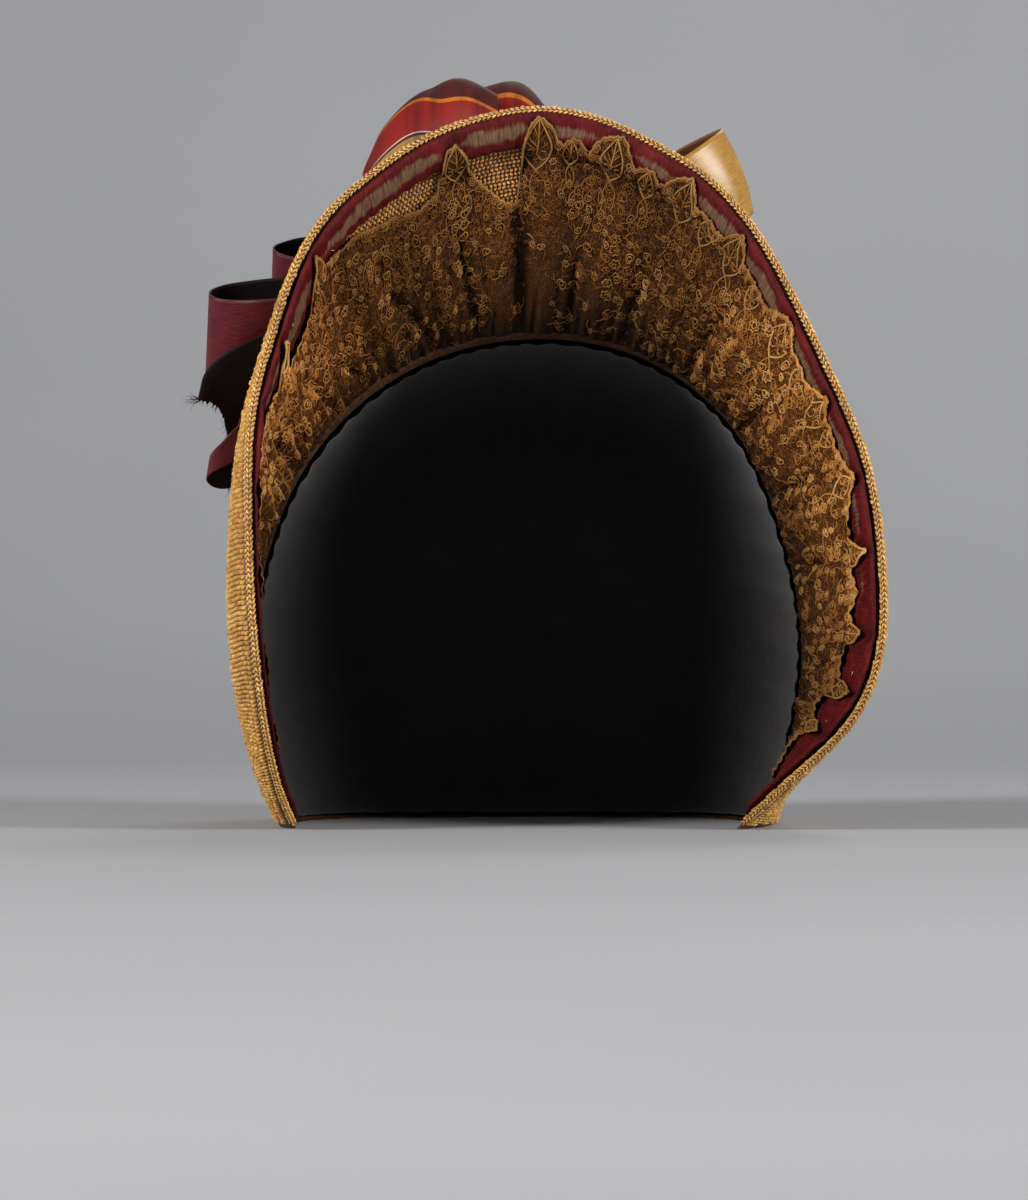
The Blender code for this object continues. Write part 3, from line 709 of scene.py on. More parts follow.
def lace_net():
    m = Mat("lace_ground")
    tone, tint, mark = m.look()  # tone: fold crest, for a painted highlight, tint: how open the net is, mark: painted shade in the fold hollows and near the joint
    uv = m.uv(LACE_WIDE, LACE_DEEP)
    where = m.place()
    wob = m.node("TexNoise", {"Vector": uv, "Scale": 0.8, "Detail": 1.0})
    wob = m.node("VectorMath", {0: wob.outputs["Color"], 1: (0.5, 0.5, 0.5)}, operation="SUBTRACT")
    wob = m.node("VectorMath", {0: wob.outputs[0], "Scale": 1.4}, operation="SCALE")
    bent = m.node("VectorMath", {0: uv, 1: wob.outputs[0]}, operation="ADD").outputs[0]

    def cells(vec, scale, feature, rand=1.0):
        n = m.node("TexVoronoi", {"Vector": vec, "Scale": scale, "Randomness": rand}, voronoi_dimensions="2D", feature=feature)
        return n.outputs["Distance"]

    def lines(scale, levels, half):
        """Threads along the level lines of a noise."""
        w = m.math("MULTIPLY", m.noise(uv, scale, 1.0, 0.4), levels)
        w = m.math("PINGPONG", w, 0.5)
        return m.ramp(w, (half * 0.35, 1.0), (half, 0.0))

    loops = m.ramp(cells(bent, 0.36, "DISTANCE_TO_EDGE"), (0.02, 0.9), (0.07, 0.0))
    net = m.ramp(cells(uv, 1.2, "DISTANCE_TO_EDGE", 0.2), (0.04, 0.8), (0.13, 0.0))
    busy = m.math("MAXIMUM", m.math("MAXIMUM", loops, m.math("MULTIPLY", net, 0.7)), m.math("MULTIPLY", lines(0.42, 5.0, 0.12), 0.75))
    thread = m.node("Mix", {0: tint, 2: busy, 3: net}, data_type="FLOAT").outputs[0]
    fleck = m.noise(where, 620.0, 2.0)
    light = m.ramp(fleck, (0.3, srgb(144, 82, 28)), (0.75, srgb(208, 134, 60)))
    # Painted shade: the net between the threads is near black, for the shade seen through it.
    dark = m.ramp(fleck, (0.3, srgb(18, 7, 0)), (0.7, srgb(40, 19, 4)))
    c = m.mix(thread, dark, light)
    stain = m.noise(where, 48.0, 3.0)
    c = m.mix(m.ramp(stain, (0.4, 0.0), (0.68, 0.45)), c, srgb(56, 26, 4))
    # Painted highlight on the fold crests (tone) and painted shade in the fold hollows and near the joint (mark).
    c = m.mix(m.math("MULTIPLY", tone, 0.10), c, srgb(170, 108, 40))
    c = m.mix(m.math("MULTIPLY", mark, 0.85), c, srgb(18, 7, 0))
    m.bump(thread, 1.0, 0.0005)
    m.set(Base_Color=painted_lace_shade(m, c), Roughness=0.85)
    m.p.inputs["Specular IOR Level"].default_value = 0.15
    return m.m


def lace_thread():
    m = Mat("lace_cord")
    tone, tint, mark = m.look()
    where = m.place()
    # Painted light: tone darkens each thread's sides and lightens its ridge, on top of a random tone per thread.
    c = m.ramp(tone, (0.0, srgb(34, 14, 2)), (0.4, srgb(150, 86, 30)), (0.75, srgb(230, 160, 82)), (1.0, srgb(255, 216, 142)))
    c = m.mix(m.math("MULTIPLY", tint, 0.45), c, srgb(122, 66, 16))
    stain = m.noise(where, 48.0, 3.0)
    c = m.mix(m.ramp(stain, (0.4, 0.0), (0.68, 0.35)), c, srgb(82, 40, 8))
    ply = m.noise(where, 2400.0, 1.0)
    c = m.mix(m.ramp(ply, (0.4, 0.0), (0.7, 0.35)), c, srgb(92, 52, 18))
    m.bump(ply, 0.35, 0.0002)
    m.set(Base_Color=painted_lace_shade(m, c), Roughness=0.8)
    m.p.inputs["Specular IOR Level"].default_value = 0.2
    return m.m


def satin(name, light, body, deep, spec=0.5, rough=0.34, weft=1.0):
    """Ribbon: fine ribs across it, a sheen along it and a denser selvedge."""
    m = Mat(name)
    tone, tint, mark = m.look()  # tone: across the ribbon, tint: end of the ribbon
    uv = m.uv(260.0, 90.0)
    where = m.place()
    ribs = m.node("TexWave", {"Vector": uv, "Scale": 0.5, "Distortion": 0.6, "Detail": 1.0}, wave_type="BANDS", bands_direction="X").outputs["Fac"]
    slub = m.noise(m.uv(14.0, 160.0), 1.0, 3.0)
    c = m.ramp(slub, (0.3, deep), (0.55, body), (0.85, light))
    c = m.mix(m.ramp(m.noise(where, 90.0, 2.0), (0.4, 0.0), (0.75, 0.35)), c, deep)
    edge = m.ramp(m.math("ABSOLUTE", m.math("SUBTRACT", tone, 0.5)), (0.445, 0.0), (0.47, 0.75))
    c = m.mix(m.math("MULTIPLY", edge, 0.5), c, deep)
    h = m.math("ADD", m.math("MULTIPLY", ribs, 0.35), m.math("ADD", m.math("MULTIPLY", slub, 0.4), m.math("MULTIPLY", edge, 0.8)))
    m.bump(h, 0.35 * weft, 0.0003)
    m.set(Base_Color=c, Roughness=m.math("MULTIPLY_ADD", slub, 0.16, rough - 0.08))
    m.p.inputs["Specular IOR Level"].default_value = spec
    m.p.inputs["Sheen Weight"].default_value = 0.03
    return m.m


STRIPES = (
    # share of the width where the stripe ends, colour
    (0.030, (48, 7, 16)),
    (0.042, (186, 104, 20)),
    (0.120, (126, 11, 11)),
    (0.124, (214, 180, 158)),
    (0.129, (18, 10, 10)),
    (0.222, (160, 126, 68)),
    (0.227, (18, 10, 10)),
    (0.233, (214, 180, 158)),
    (0.322, (126, 11, 11)),
    (0.334, (186, 104, 20)),
    (0.420, (48, 7, 16)),
    (0.432, (186, 104, 20)),
    (0.520, (126, 11, 11)),
    (0.526, (214, 180, 158)),
    (0.531, (18, 10, 10)),
    (0.624, (160, 126, 68)),
    (0.629, (18, 10, 10)),
    (0.635, (214, 180, 158)),
    (0.724, (126, 11, 11)),
    (0.736, (186, 104, 20)),
    (0.822, (48, 7, 16)),
    (0.834, (186, 104, 20)),
    (1.000, (126, 11, 11)),
)


def striped():
    m = Mat("striped_silk")
    tone, tint, mark = m.look()  # tone: across the ribbon
    n = m.node("ValToRGB")
    n.color_ramp.interpolation = "CONSTANT"
    e = n.color_ramp.elements
    while len(e) < len(STRIPES):
        e.new(0.5)
    begin = 0.0
    for x, (end, col) in zip(e, STRIPES):
        x.position = begin
        x.color = srgb(*col)
        begin = end
    m.put(n, 0, tone)
    c = n.outputs[0]
    uv = m.uv(190.0, 320.0)
    ribs = m.node("TexWave", {"Vector": uv, "Scale": 0.5, "Distortion": 0.4}, wave_type="BANDS", bands_direction="X").outputs["Fac"]
    grain = m.noise(uv, 2.0, 2.0)
    c = m.mix(m.ramp(grain, (0.35, 0.0), (0.8, 0.34)), c, srgb(46, 6, 12))
    # Painted light: the ribs are tinted lighter as a painted sheen, and the crease noise paints shade in dark folds
    # and highlight along light streaks.
    c = m.mix(m.math("MULTIPLY", ribs, 0.10), c, srgb(214, 104, 72))
    crease = m.noise(m.uv(5.0, 1.6), 1.0, 3.0, 0.6)
    c = m.mix(m.ramp(crease, (0.36, 0.62), (0.52, 0.0)), c, srgb(34, 4, 8))
    c = m.mix(m.ramp(crease, (0.58, 0.0), (0.80, 0.20)), c, srgb(206, 70, 52))
    m.bump(m.math("ADD", m.math("MULTIPLY", ribs, 0.6), m.math("MULTIPLY", grain, 0.4)), 0.35, 0.00025)
    m.set(Base_Color=c, Roughness=m.math("MULTIPLY_ADD", grain, 0.2, 0.42))
    m.p.inputs["Specular IOR Level"].default_value = 0.2
    m.p.inputs["Sheen Weight"].default_value = 0.04
    return m.m


def black_cloth():
    m = Mat("black_weave")
    where = m.place()
    uv = m.uv(700.0, 260.0)
    weave = m.node("TexWave", {"Vector": uv, "Scale": 0.6, "Distortion": 0.5}, wave_type="BANDS", bands_direction="X").outputs["Fac"]
    fluff = m.noise(where, 300.0, 3.0)
    c = m.ramp(fluff, (0.3, srgb(8, 6, 6)), (0.75, srgb(26, 20, 19)))
    m.bump(m.math("ADD", m.math("MULTIPLY", weave, 0.5), fluff), 0.4, 0.0003)
    m.set(Base_Color=c, Roughness=m.math("MULTIPLY_ADD", fluff, 0.2, 0.62))
    m.p.inputs["Sheen Weight"].default_value = 0.15
    return m.m


def thread_material(name, a, b):
    m = Mat(name)
    where = m.place()
    c = m.ramp(m.noise(where, 1500.0, 2.0), (0.3, a), (0.7, b))
    m.bump(m.noise(where, 3000.0, 1.0), 0.3, 0.0001)
    return m.set(Base_Color=c, Roughness=0.6)


mats = {
    "straw": straw,
    "straw_rim": straw_rim,
    "straw_in": straw_in,
    "ground": straw_under(),
    "velvet": velvet(),
    "net": lace_net(),
    "cord": lace_thread(),
    "wine": satin("burgundy_satin_face", srgb(136, 20, 40), srgb(92, 9, 24), srgb(46, 3, 10), spec=0.35, rough=0.40),
    "wine_back": satin("burgundy_satin_back", srgb(26, 5, 9), srgb(14, 2, 5), srgb(5, 1, 2), spec=0.15, rough=0.6),
    "gold": satin("gold_satin_face", srgb(202, 160, 86), srgb(176, 132, 62), srgb(138, 94, 38), rough=0.32, weft=0.25),
    # Painted shade: the gold's back is a darker brown copy of its face, for the shaded inside of the loop.
    "gold_back_shade": satin("gold_satin_back_shade", srgb(150, 96, 42), srgb(112, 62, 20), srgb(70, 34, 10), rough=0.5),
    "stripes": striped(),
    "black": black_cloth(),
    "white": thread_material("white_thread", srgb(206, 196, 186), srgb(238, 230, 222)),
    "wine_thread": thread_material("wine_thread", srgb(38, 8, 16), srgb(84, 24, 38)),
}


# ---------------------------------------------------------------- meshes from arrays
def make(name, verts, faces, mat, uv=None, look=None, smooth=True, face_mat=None):
    """A mesh from arrays: faces is a list of index arrays with 3 or 4 columns."""
    verts = (np.asarray(verts, float) + SHIFT) * MM
    me = bpy.data.meshes.new(name)
    me.vertices.add(len(verts))
    me.vertices.foreach_set("co", verts.astype(np.float32).ravel())
    faces = [np.asarray(f, np.int32) for f in faces if len(f)]
    loops = np.concatenate([f.ravel() for f in faces])
    sizes = np.concatenate([np.full(len(f), f.shape[1], np.int32) for f in faces])
    starts = np.concatenate([[0], np.cumsum(sizes)[:-1]]).astype(np.int32)
    me.loops.add(len(loops))
    me.loops.foreach_set("vertex_index", loops)
    me.polygons.add(len(sizes))
    me.polygons.foreach_set("loop_start", starts)
    me.polygons.foreach_set("use_smooth", np.full(len(sizes), smooth))
    if face_mat is not None:
        me.polygons.foreach_set("material_index", np.asarray(face_mat, np.int32))
    me.update(calc_edges=True)
    if uv is not None:
        layer = me.uv_layers.new(name="OFBake")
        layer.uv.foreach_set("vector", np.asarray(uv, np.float32)[loops].ravel())
    if look is not None:
        col = me.attributes.new("look", "FLOAT_COLOR", "POINT")
        rgba = np.ones((len(verts), 4), np.float32)
        rgba[:, :3] = look
        col.data.foreach_set("color", rgba.ravel())
    for x in mat if isinstance(mat, (list, tuple)) else [mat]:
        me.materials.append(mats[x])
    me.validate()
    ob = bpy.data.objects.new(name, me)
    bpy.context.scene.collection.objects.link(ob)
    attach(ob, "root")
    return ob


def quads(n, m, wrap=False, first=0):
    i, j = np.meshgrid(np.arange(n - 1), np.arange(m if wrap else m - 1), indexing="ij")
    k = (j + 1) % m
    a, b = i * m + j, i * m + k
    return np.stack([a, a + m, b + m, b], -1).reshape(-1, 4) + first


def slab_faces(n, m):
    """Faces of a closed sheet made of two n by m grids."""
    top = quads(n, m)
    low = quads(n, m)[:, ::-1] + n * m
    ring = np.array(
        [i * m for i in range(n)]
        + [(n - 1) * m + j for j in range(1, m)]
        + [i * m + m - 1 for i in range(n - 2, -1, -1)]
        + [j for j in range(m - 2, 0, -1)]
    )
    nxt = np.roll(ring, -1)
    side = np.stack([nxt, ring, ring + n * m, nxt + n * m], -1)
    return top, low, side


def outward(ob):
    """Turns a closed mesh's faces outward."""
    me = ob.data
    me.calc_loop_triangles()
    v = np.empty(len(me.vertices) * 3)
    me.vertices.foreach_get("co", v)
    t = np.empty(len(me.loop_triangles) * 3, np.int32)
    me.loop_triangles.foreach_get("vertices", t)
    t = v.reshape(-1, 3)[t.reshape(-1, 3)]
    if np.einsum("ij,ij->i", t[:, 0], np.cross(t[:, 1], t[:, 2])).sum() < 0:
        me.flip_normals()
    return ob


GRAIN = np.array(
    # along, across, height of one stitch, as shares of its size
    [
        (-0.50, 0.0, 0.0),
        (-0.24, -0.5, 0.0),
        (-0.24, 0.0, 1.0),
        (-0.24, 0.5, 0.0),
        (0.24, -0.5, 0.0),
        (0.24, 0.0, 1.0),
        (0.24, 0.5, 0.0),
        (0.50, 0.0, 0.0),
    ]
)
GRAIN_TRIS = np.array([(0, 2, 1), (0, 3, 2), (7, 4, 5), (7, 5, 6)])
GRAIN_QUADS = np.array([(1, 2, 5, 4), (2, 3, 6, 5)])
rng = np.random.default_rng(7)


def grains(at, a, b, turn, long, wide, high, lift):
    """Stitches on a surface. at(a, da, b, db, off) gives points; a and b are the places
    in the surface's own numbers, da and db the steps from there in mm."""
    k = len(a)
    jig = rng.normal(0, 1, (5, k))
    turn = turn + jig[0] * 0.10
    long, wide = long * (1 + 0.08 * jig[1]), wide * (1 + 0.08 * jig[2])
    high = high * (1 + 0.16 * jig[3])
    x = GRAIN[None, :, 0] * long[:, None]
    y = GRAIN[None, :, 1] * wide[:, None]
    da = x * np.cos(turn)[:, None] - y * np.sin(turn)[:, None]
    db = x * np.sin(turn)[:, None] + y * np.cos(turn)[:, None]
    off = lift + GRAIN[None, :, 2] * high[:, None]
    p = at(a[:, None], da, b[:, None], db, off)
    look = np.zeros((k, 8, 3))
    # tone: painted shade at the stitch's foot, painted highlight at its crest
    look[:, :, 0] = np.clip(0.12 + 0.88 * GRAIN[None, :, 2] * (0.78 + 0.22 * jig[4][:, None]), 0, 1)
    look[:, :, 1] = np.clip(rng.random(k) ** 2.2, 0, 1)[:, None]
    base = (np.arange(k) * 8)[:, None, None]
    tri = (GRAIN_TRIS[None] + base).reshape(-1, 3)
    quad = (GRAIN_QUADS[None] + base).reshape(-1, 4)
    return p.reshape(-1, 3), [tri, quad], look.reshape(-1, 3), da, db


def flip_all(faces):
    return [f[:, ::-1] for f in faces]


def face_out(verts, faces, direction):
    """Turns small separate shells so that their faces look along direction."""
    f = faces[1]
    n = np.cross(verts[f[:, 1]] - verts[f[:, 0]], verts[f[:, 2]] - verts[f[:, 0]])
    if (n * direction(verts[f[:, 0]])).sum() < 0:
        return flip_all(faces)
    return faces


# ---------------------------------------------------------------- straw brim
n, m = 261, 20
u = np.linspace(0, 1, n)[:, None]
share = np.linspace(0, 1, m)[None, :]
length = read(FINE_LEN, u.ravel())[:, None]
near = 2.2 + (length - 2.2) * share
grid_out = brim(u, near, STRAW / 2 - 0.15)
grid_in = brim(u, near, -(STRAW / 2 - 0.15))
uv = np.stack(np.broadcast_arrays(u * 0.98 + 0.01, share * 0.47 + 0.01), -1).reshape(-1, 2)
ob = make(
    "brim_wall",
    np.concatenate([grid_out.reshape(-1, 3), grid_in.reshape(-1, 3)]),
    list(slab_faces(n, m)),
    "ground",
    uv=np.concatenate([uv, uv + [0, 0.5]]),
)
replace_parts(outward(ob), "brim_straw")


def steep(u, power):
    return read(FINE_STEEP, np.ravel(u)).reshape(np.shape(u)) ** power


def brim_step(side, fan=0.0):
    def at(a, da, b, db, off):
        per = np.linalg.norm(brim(a + 0.001, b, side * off) - brim(a - 0.001, b, side * off), axis=-1) / 0.002
        return brim(a + da / per, b + db * steep(a, fan), side * off)

    return at


def brim_rows(first, last, step, pitch, u0=0.0, u1=1.0, fan=0.0):
    """Places of stitches in rows that follow the rim and fan out where the brim is steep."""
    found = []
    for k, near in enumerate(np.arange(first, last, step)):
        fine = np.linspace(u0, u1, 900)
        p = brim(fine, 2.2 + (near - 2.2) * steep(fine, fan), 0.0)
        d = np.concatenate([[0], np.cumsum(np.linalg.norm(np.diff(p, axis=0), axis=1))])
        n = max(2, int(d[-1] / pitch))
        a = np.interp((np.arange(n) + (0.5 if fan == 0 else 0.37) * k % 1.0 + 0.25) / n * d[-1], d, fine)
        there = 2.2 + (near - 2.2) * steep(a, fan)
        ok = there < read(FINE_LEN, a) - 1.0
        ok &= p[np.minimum((a - u0) / (u1 - u0) * 899, 899).astype(int), 2] > 0.9
        found.append(np.stack([a[ok], there[ok]], 1))
    return np.concatenate(found)


PITCH, ROW = 1.38, 2.4
spots = brim_rows(2.2 + ROW / 2, 80.0, ROW, PITCH, fan=0.5)
legs = []
for sign in (-1, 1):
    a = spots[:, 0]
    b = spots[:, 1] + sign * ROW * 0.185 * steep(a, 0.4)
    legs.append((a, b, np.full(len(a), sign * 0.60)))
a, b, turn = (np.concatenate([x[i] for x in legs]) for i in range(3))
p, f, look, da, db = grains(brim_step(1, 0.4), a, b, turn, 1.72, 0.66, 0.90, STRAW / 2 - 0.2)
uv = np.stack(
    [0.01 + 0.98 * (a[:, None] + da / 530), 0.01 + 0.98 * (b[:, None] + db) / 82], -1
).reshape(-1, 2)
middle = np.array([0.0, 0.0, 60.0])
f = face_out(p, f, lambda v: v - middle)
ob = make("brim_stitches", p, f, "straw", uv=uv, look=look)

# The inside shows as small nubs between the roll and the lace.
spots = brim_rows(9.4, 36.0, 1.16, 1.26, 0.34, 0.60)
edge_there = np.interp(spots[:, 0], [x[0] for x in LACE_RIM], [x[1] for x in LACE_RIM])
spots = spots[(spots[:, 1] < edge_there + 4.0) & (spots[:, 1] > read(FINE_ROLL, spots[:, 0]) - 1.6)]
a, b = spots[:, 0], spots[:, 1]
turn = np.where((np.round((b - 9.4) / 1.16).astype(int) % 2) == 0, 0.55, -0.55)
p, f, look, da, db = grains(brim_step(-1), a, b, turn, 1.34, 0.90, 0.84, STRAW / 2 - 0.15)
uv = np.stack(
    [0.01 + 0.98 * ((a[:, None] - 0.34) / 0.26 + da / 139), 0.02 + 0.95 * (b[:, None] + db - 8) / 30], -1
).reshape(-1, 2)
f = face_out(p, f, lambda v: middle - v)
ob = make("brim_nubs", p, f, "straw_in", uv=np.clip(uv, 0, 1), look=look)

# ---------------------------------------------------------------- rim plait
u = np.linspace(0.006, 0.994, 2001)
c = brim(u, BRAID_R, 0.0)
d = unit(np.gradient(c, axis=0))
a = unit(brim(u, 0.0, 0.0) - c)
a = unit(a - d * (a * d).sum(1, keepdims=True))
nrm = np.cross(d, a)
along = np.concatenate([[0], np.cumsum(np.linalg.norm(np.diff(c, axis=0), axis=1))])


def plait_step(s, ds, turn, dw, off):
    """Round the plait: s mm along it, turn round it."""
    x = np.interp(s + ds, along, np.arange(len(u)))
    k = np.minimum(x.astype(int), len(u) - 2)
    w = (x - k)[..., None]
    c0, a0, n0 = (q[k] * (1 - w) + q[k + 1] * w for q in (c, a, nrm))
    th = turn + dw / BRAID_R
    return c0 + (a0 * np.cos(th)[..., None] + n0 * np.sin(th)[..., None]) * off[..., None]


CORE, ROUND = 640, 8
core = np.linspace(0, along[-1], CORE)
w = np.linspace(0, 2 * np.pi, ROUND, endpoint=False)
wob = 0.74 + 0.03 * np.sin(core * 2 * np.pi / 2.9)
p = plait_step(core[:, None], 0, w[None, :], 0, np.broadcast_to(wob[:, None], (CORE, ROUND)))
p = np.concatenate([p.reshape(-1, 3), p[:1].mean(1), p[-1:].mean(1)])
j = np.arange(ROUND)
last = (CORE - 1) * ROUND
caps = [
    np.stack([np.full(ROUND, CORE * ROUND), (j + 1) % ROUND, j], 1),
    np.stack([np.full(ROUND, CORE * ROUND + 1), last + j, last + (j + 1) % ROUND], 1),
]
uv = np.stack(np.broadcast_arrays(core[:, None] / along[-1], w[None, :] / 6.5), -1).reshape(-1, 2)
ob = make("rim_core", p, [quads(CORE, ROUND, wrap=True), *caps], "ground", uv=np.concatenate([uv, [[0, 0.5], [1, 0.5]]]))
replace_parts(outward(ob), "rim_braid")

parts = []
RIM_PITCH = 1.42
count = int(along[-1] / RIM_PITCH)
for col in range(3):
    for sign in (-1, 1):
        s = (np.arange(count) + 0.5 + 0.33 * col) * along[-1] / count
        s = s[s < along[-1] - 0.6]
        th = 2 * np.pi * (col / 3) + sign * 0.52
        parts.append((s, np.full(len(s), th), np.full(len(s), sign * 0.60)))
s, th, turn = (np.concatenate([x[i] for x in parts]) for i in range(3))
p, f, look, da, db = grains(
    lambda a, da, b, db, off: plait_step(a, da, b, db, off), s, th, turn, 2.05, 0.92, 0.58, 0.62
)
uv = np.stack([np.clip((s[:, None] + da) / along[-1], 0, 1), 0.04 + 0.9 * ((th[:, None] + 0.6 + db / BRAID_R) / 6.6)], -1).reshape(-1, 2)
centre = c.mean(0)
f = face_out(p, f, lambda v: v - c[np.argmin(((v[:, None, :] - c[None, ::20]) ** 2).sum(-1), axis=1) * 20]) if len(p) < 40000 else f
ob = make("rim_stitches", p, f, "straw_rim", uv=uv, look=look)

# ---------------------------------------------------------------- crown
ON = 360
mtop = int(ON * 0.74)
top = joint.at(np.linspace(0, 1, mtop))
under = spline([JOINT[-1], *UNDER, JOINT[0]], np.linspace(0, 1, ON - mtop + 2))[1:-1]
ring = np.concatenate([top, under])
space = np.full(ON, JOINT_GAP)
lean = np.clip(unit(rim.at(np.linspace(0, 1, mtop)) - top)[:, 2], 0, 1)
space[:mtop] = 0.35 * (JOINT_GAP + JOINT_LEAN * lean)
rows = [(ring[:, 1] + space, 1.004)] + [(np.full(ON, r[0]), r[1]) for r in CROWN]
rows[1] = (0.75 * rows[1][0] + 0.25 * (ring[:, 1] + space + 8), CROWN[0][1])
flat = ring * [1, 0, 1]
mid = np.array([0.0, 0.0, CROWN_MID_Z])
rings = np.array([mid + (flat - mid) * k for _, k in rows])
rings[:, :, 1] = [y for y, _ in rows]
pole = np.broadcast_to(np.array([0.0, POLE_Y, CROWN_MID_Z]), (1, ON, 3))
rings = np.concatenate([rings, pole])
gaps = np.linalg.norm(np.diff(rings, axis=0), axis=-1).mean(1)
share = np.concatenate([[0], np.cumsum(gaps)])
dense = spline(rings.reshape(len(rings), -1), np.linspace(0, 1, 201), share).reshape(201, ON, 3)
dense = np.concatenate([dense, dense[:, :1]], axis=1)
dense[-1] = pole[0, 0]
outwards = dense - np.array([0.0, 20.0, CROWN_MID_Z])
crown = Surface(dense[:199], outwards[:199])
crown.n[:, -1] = crown.n[:, 0] = unit(crown.n[:, 0] + crown.n[:, -1])
CROWN_LONG = share[-1]


def trimmed(verts, faces, floor):
    """Leaves out what is under the floor and lays the cut edge flat."""
    high = verts[:, 2] > floor
    faces = [f[high[f].any(1)] for f in faces]
    verts = verts.copy()
    verts[:, 2] = np.maximum(verts[:, 2], floor)
    return verts, faces


n, m = 49, 141
a = np.linspace(0, 0.992, n)[:, None]
b = np.linspace(0, 1, m)[None, :]
out = crown.at(*np.broadcast_arrays(a, b), STRAW / 2 - 0.15)
inn = crown.at(*np.broadcast_arrays(a, b), -(STRAW / 2 - 0.15))
p = np.concatenate([out.reshape(-1, 3), inn.reshape(-1, 3)])
f = [quads(n, m), quads(n, m)[:, ::-1] + n * m]
f.append(np.stack([np.arange(m - 1), np.arange(1, m), np.arange(1, m) + n * m, np.arange(m - 1) + n * m], 1))
tip = (n - 1) * m + np.arange(m - 1)
p = np.concatenate([p, out[-1].mean(0, keepdims=True), inn[-1].mean(0, keepdims=True)])
f.append(np.stack([tip, np.full(m - 1, 2 * n * m), tip + 1], 1))
f.append(np.stack([tip + n * m + 1, np.full(m - 1, 2 * n * m + 1), tip + n * m], 1))
p, f = trimmed(p, f, 0.0)
uv = np.stack(np.broadcast_arrays(b * 0.98 + 0.01, a * 0.48 + 0.01), -1).reshape(-1, 2)
uv = np.concatenate([uv, uv + [0, 0.5], [[0.5, 0.49]], [[0.5, 0.99]]])
ob = make("crown_wall", p, f, "ground", uv=uv)
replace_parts(ob, "crown_straw")


def crown_step(a, da, b, db, off):
    """a round the crown, b from the joint to the pole."""
    per_b, per_a = crown.scale(b, a)
    return crown.at(b + db / per_b, (a + da / per_a) % 1.0, off)


found = []
ROW_C, PITCH_C = 3.1, 1.72
for k, v in enumerate(np.append(np.arange(1.6, CROWN_LONG - 4.0, ROW_C), [CROWN_LONG - 3.4, CROWN_LONG - 1.5])):
    fine = np.linspace(0, 1, 721)
    b = np.full(721, v / CROWN_LONG)
    q = crown.at(b, fine, 1.0)
    d = np.concatenate([[0], np.cumsum(np.linalg.norm(np.diff(q, axis=0), axis=1))])
    cnt = max(5, int(d[-1] / PITCH_C))
    a = np.interp((np.arange(cnt) + 0.5 * (k % 2)) / cnt * d[-1], d, fine)
    z = np.interp(a, fine, q[:, 2])
    a = a[z > 0.9]
    found.append(np.stack([a, np.full(len(a), v / CROWN_LONG)], 1))
spots = np.concatenate(found)
_, per_b = crown.scale(spots[:, 1], spots[:, 0])[::-1]
legs = []
for sign in (-1, 1):
    b = spots[:, 1] + sign * ROW_C * 0.185 / per_b
    legs.append((spots[:, 0], b, np.full(len(b), sign * 0.62)))
a, b, turn = (np.concatenate([x[i] for x in legs]) for i in range(3))
p, f, look, da, db = grains(crown_step, a, b, turn, 2.15, 0.84, 0.92, STRAW / 2 - 0.2)
uv = np.stack([0.01 + 0.98 * (a[:, None] + da / 480), 0.01 + 0.98 * (b[:, None] + db / CROWN_LONG)], -1)
f = face_out(p, f, lambda v: v - np.array([0.0, 20.0, CROWN_MID_Z]))
ob = make("crown_stitches", p, f, "straw", uv=np.clip(uv.reshape(-1, 2), 0, 1), look=look)

# ---------------------------------------------------------------- black lining
n, m = 51, 301
a = np.linspace(0, 0.985, n)[:, None]
b = np.linspace(0, 1, m)[None, :]
aa, bb = np.broadcast_arrays(a, b)
gather = 0.55 * np.sin(bb * 2 * np.pi * 74 + 2.0 * np.sin(bb * 40)) * np.exp(-aa / 0.16)
gather += 0.35 * np.sin(bb * 2 * np.pi * 31 + 9 * aa) * np.clip(aa * 5, 0, 1) * np.clip((1 - aa) * 3, 0, 1)
off = -(STRAW / 2 + GAP + 0.5) - 0.45 + gather * 0.6
face = crown.at(aa, bb, off)
p = np.concatenate([face.reshape(-1, 3), face[-1].mean(0, keepdims=True)])
tip = (n - 1) * m + np.arange(m - 1)
f = [quads(n, m)[:, ::-1], np.stack([tip + 1, np.full(m - 1, n * m), tip], 1)]
p, f = trimmed(p, f, 1.5)
uv = np.stack([bb * 0.98 + 0.01, aa * 0.98 + 0.01], -1).reshape(-1, 2)
uv = np.concatenate([uv, [[0.5, 1.0]]])
ob = make("lining", p, f, "black", uv=uv)
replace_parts(ob, "crown_lining")

# ---------------------------------------------------------------- velvet roll
n, m = 961, 18
u = np.linspace(0.011, 0.986, n)
tips = np.array([x[0] for x in MOTIFS if x[1] < 5.9 or not 0.36 < x[0] < 0.76])
s = (u[:, None] - tips[None, :]) * rim.length
pinch = np.exp(-((s / 2.4) ** 2)).max(1)
ends = np.sqrt(np.clip(np.minimum(u - 0.0105, 0.9865 - u) / 0.006, 0.04, 1))
lumps = sum(
    amp * np.sin(u * rim.length * 2 * np.pi / per + ph)
    for amp, per, ph in ((0.05, 13.0, 0.4), (0.04, 7.3, 1.7), (0.03, 4.4, 0.9))
)
tight = np.clip((0.235 - u) / 0.03, 0, 1)  # the left lower side is flat and plain
high = ROLL_HIGH * (1 - 0.34 * pinch + lumps) * ends * (1 - 0.35 * tight)
inner = read(FINE_ROLL, u) + 0.9 * pinch + 0.35 * np.sin(u * rim.length * 1.35 + 2 * np.sin(u * 80)) * (1 - tight)
base = STRAW / 2 + GAP
w = np.linspace(0, 2 * np.pi, m, endpoint=False)
across = (1 - np.cos(w)) / 2  # 0 at the rim's side, 1 at the lace's side
r2 = np.random.default_rng(11)
creases = np.zeros((n, m))
pucker = [(at, 9, 0.006, 0.20) for at in tips] + [(x, 1, 0.0, 0.16) for x in r2.uniform(0.24, 0.97, 150)]
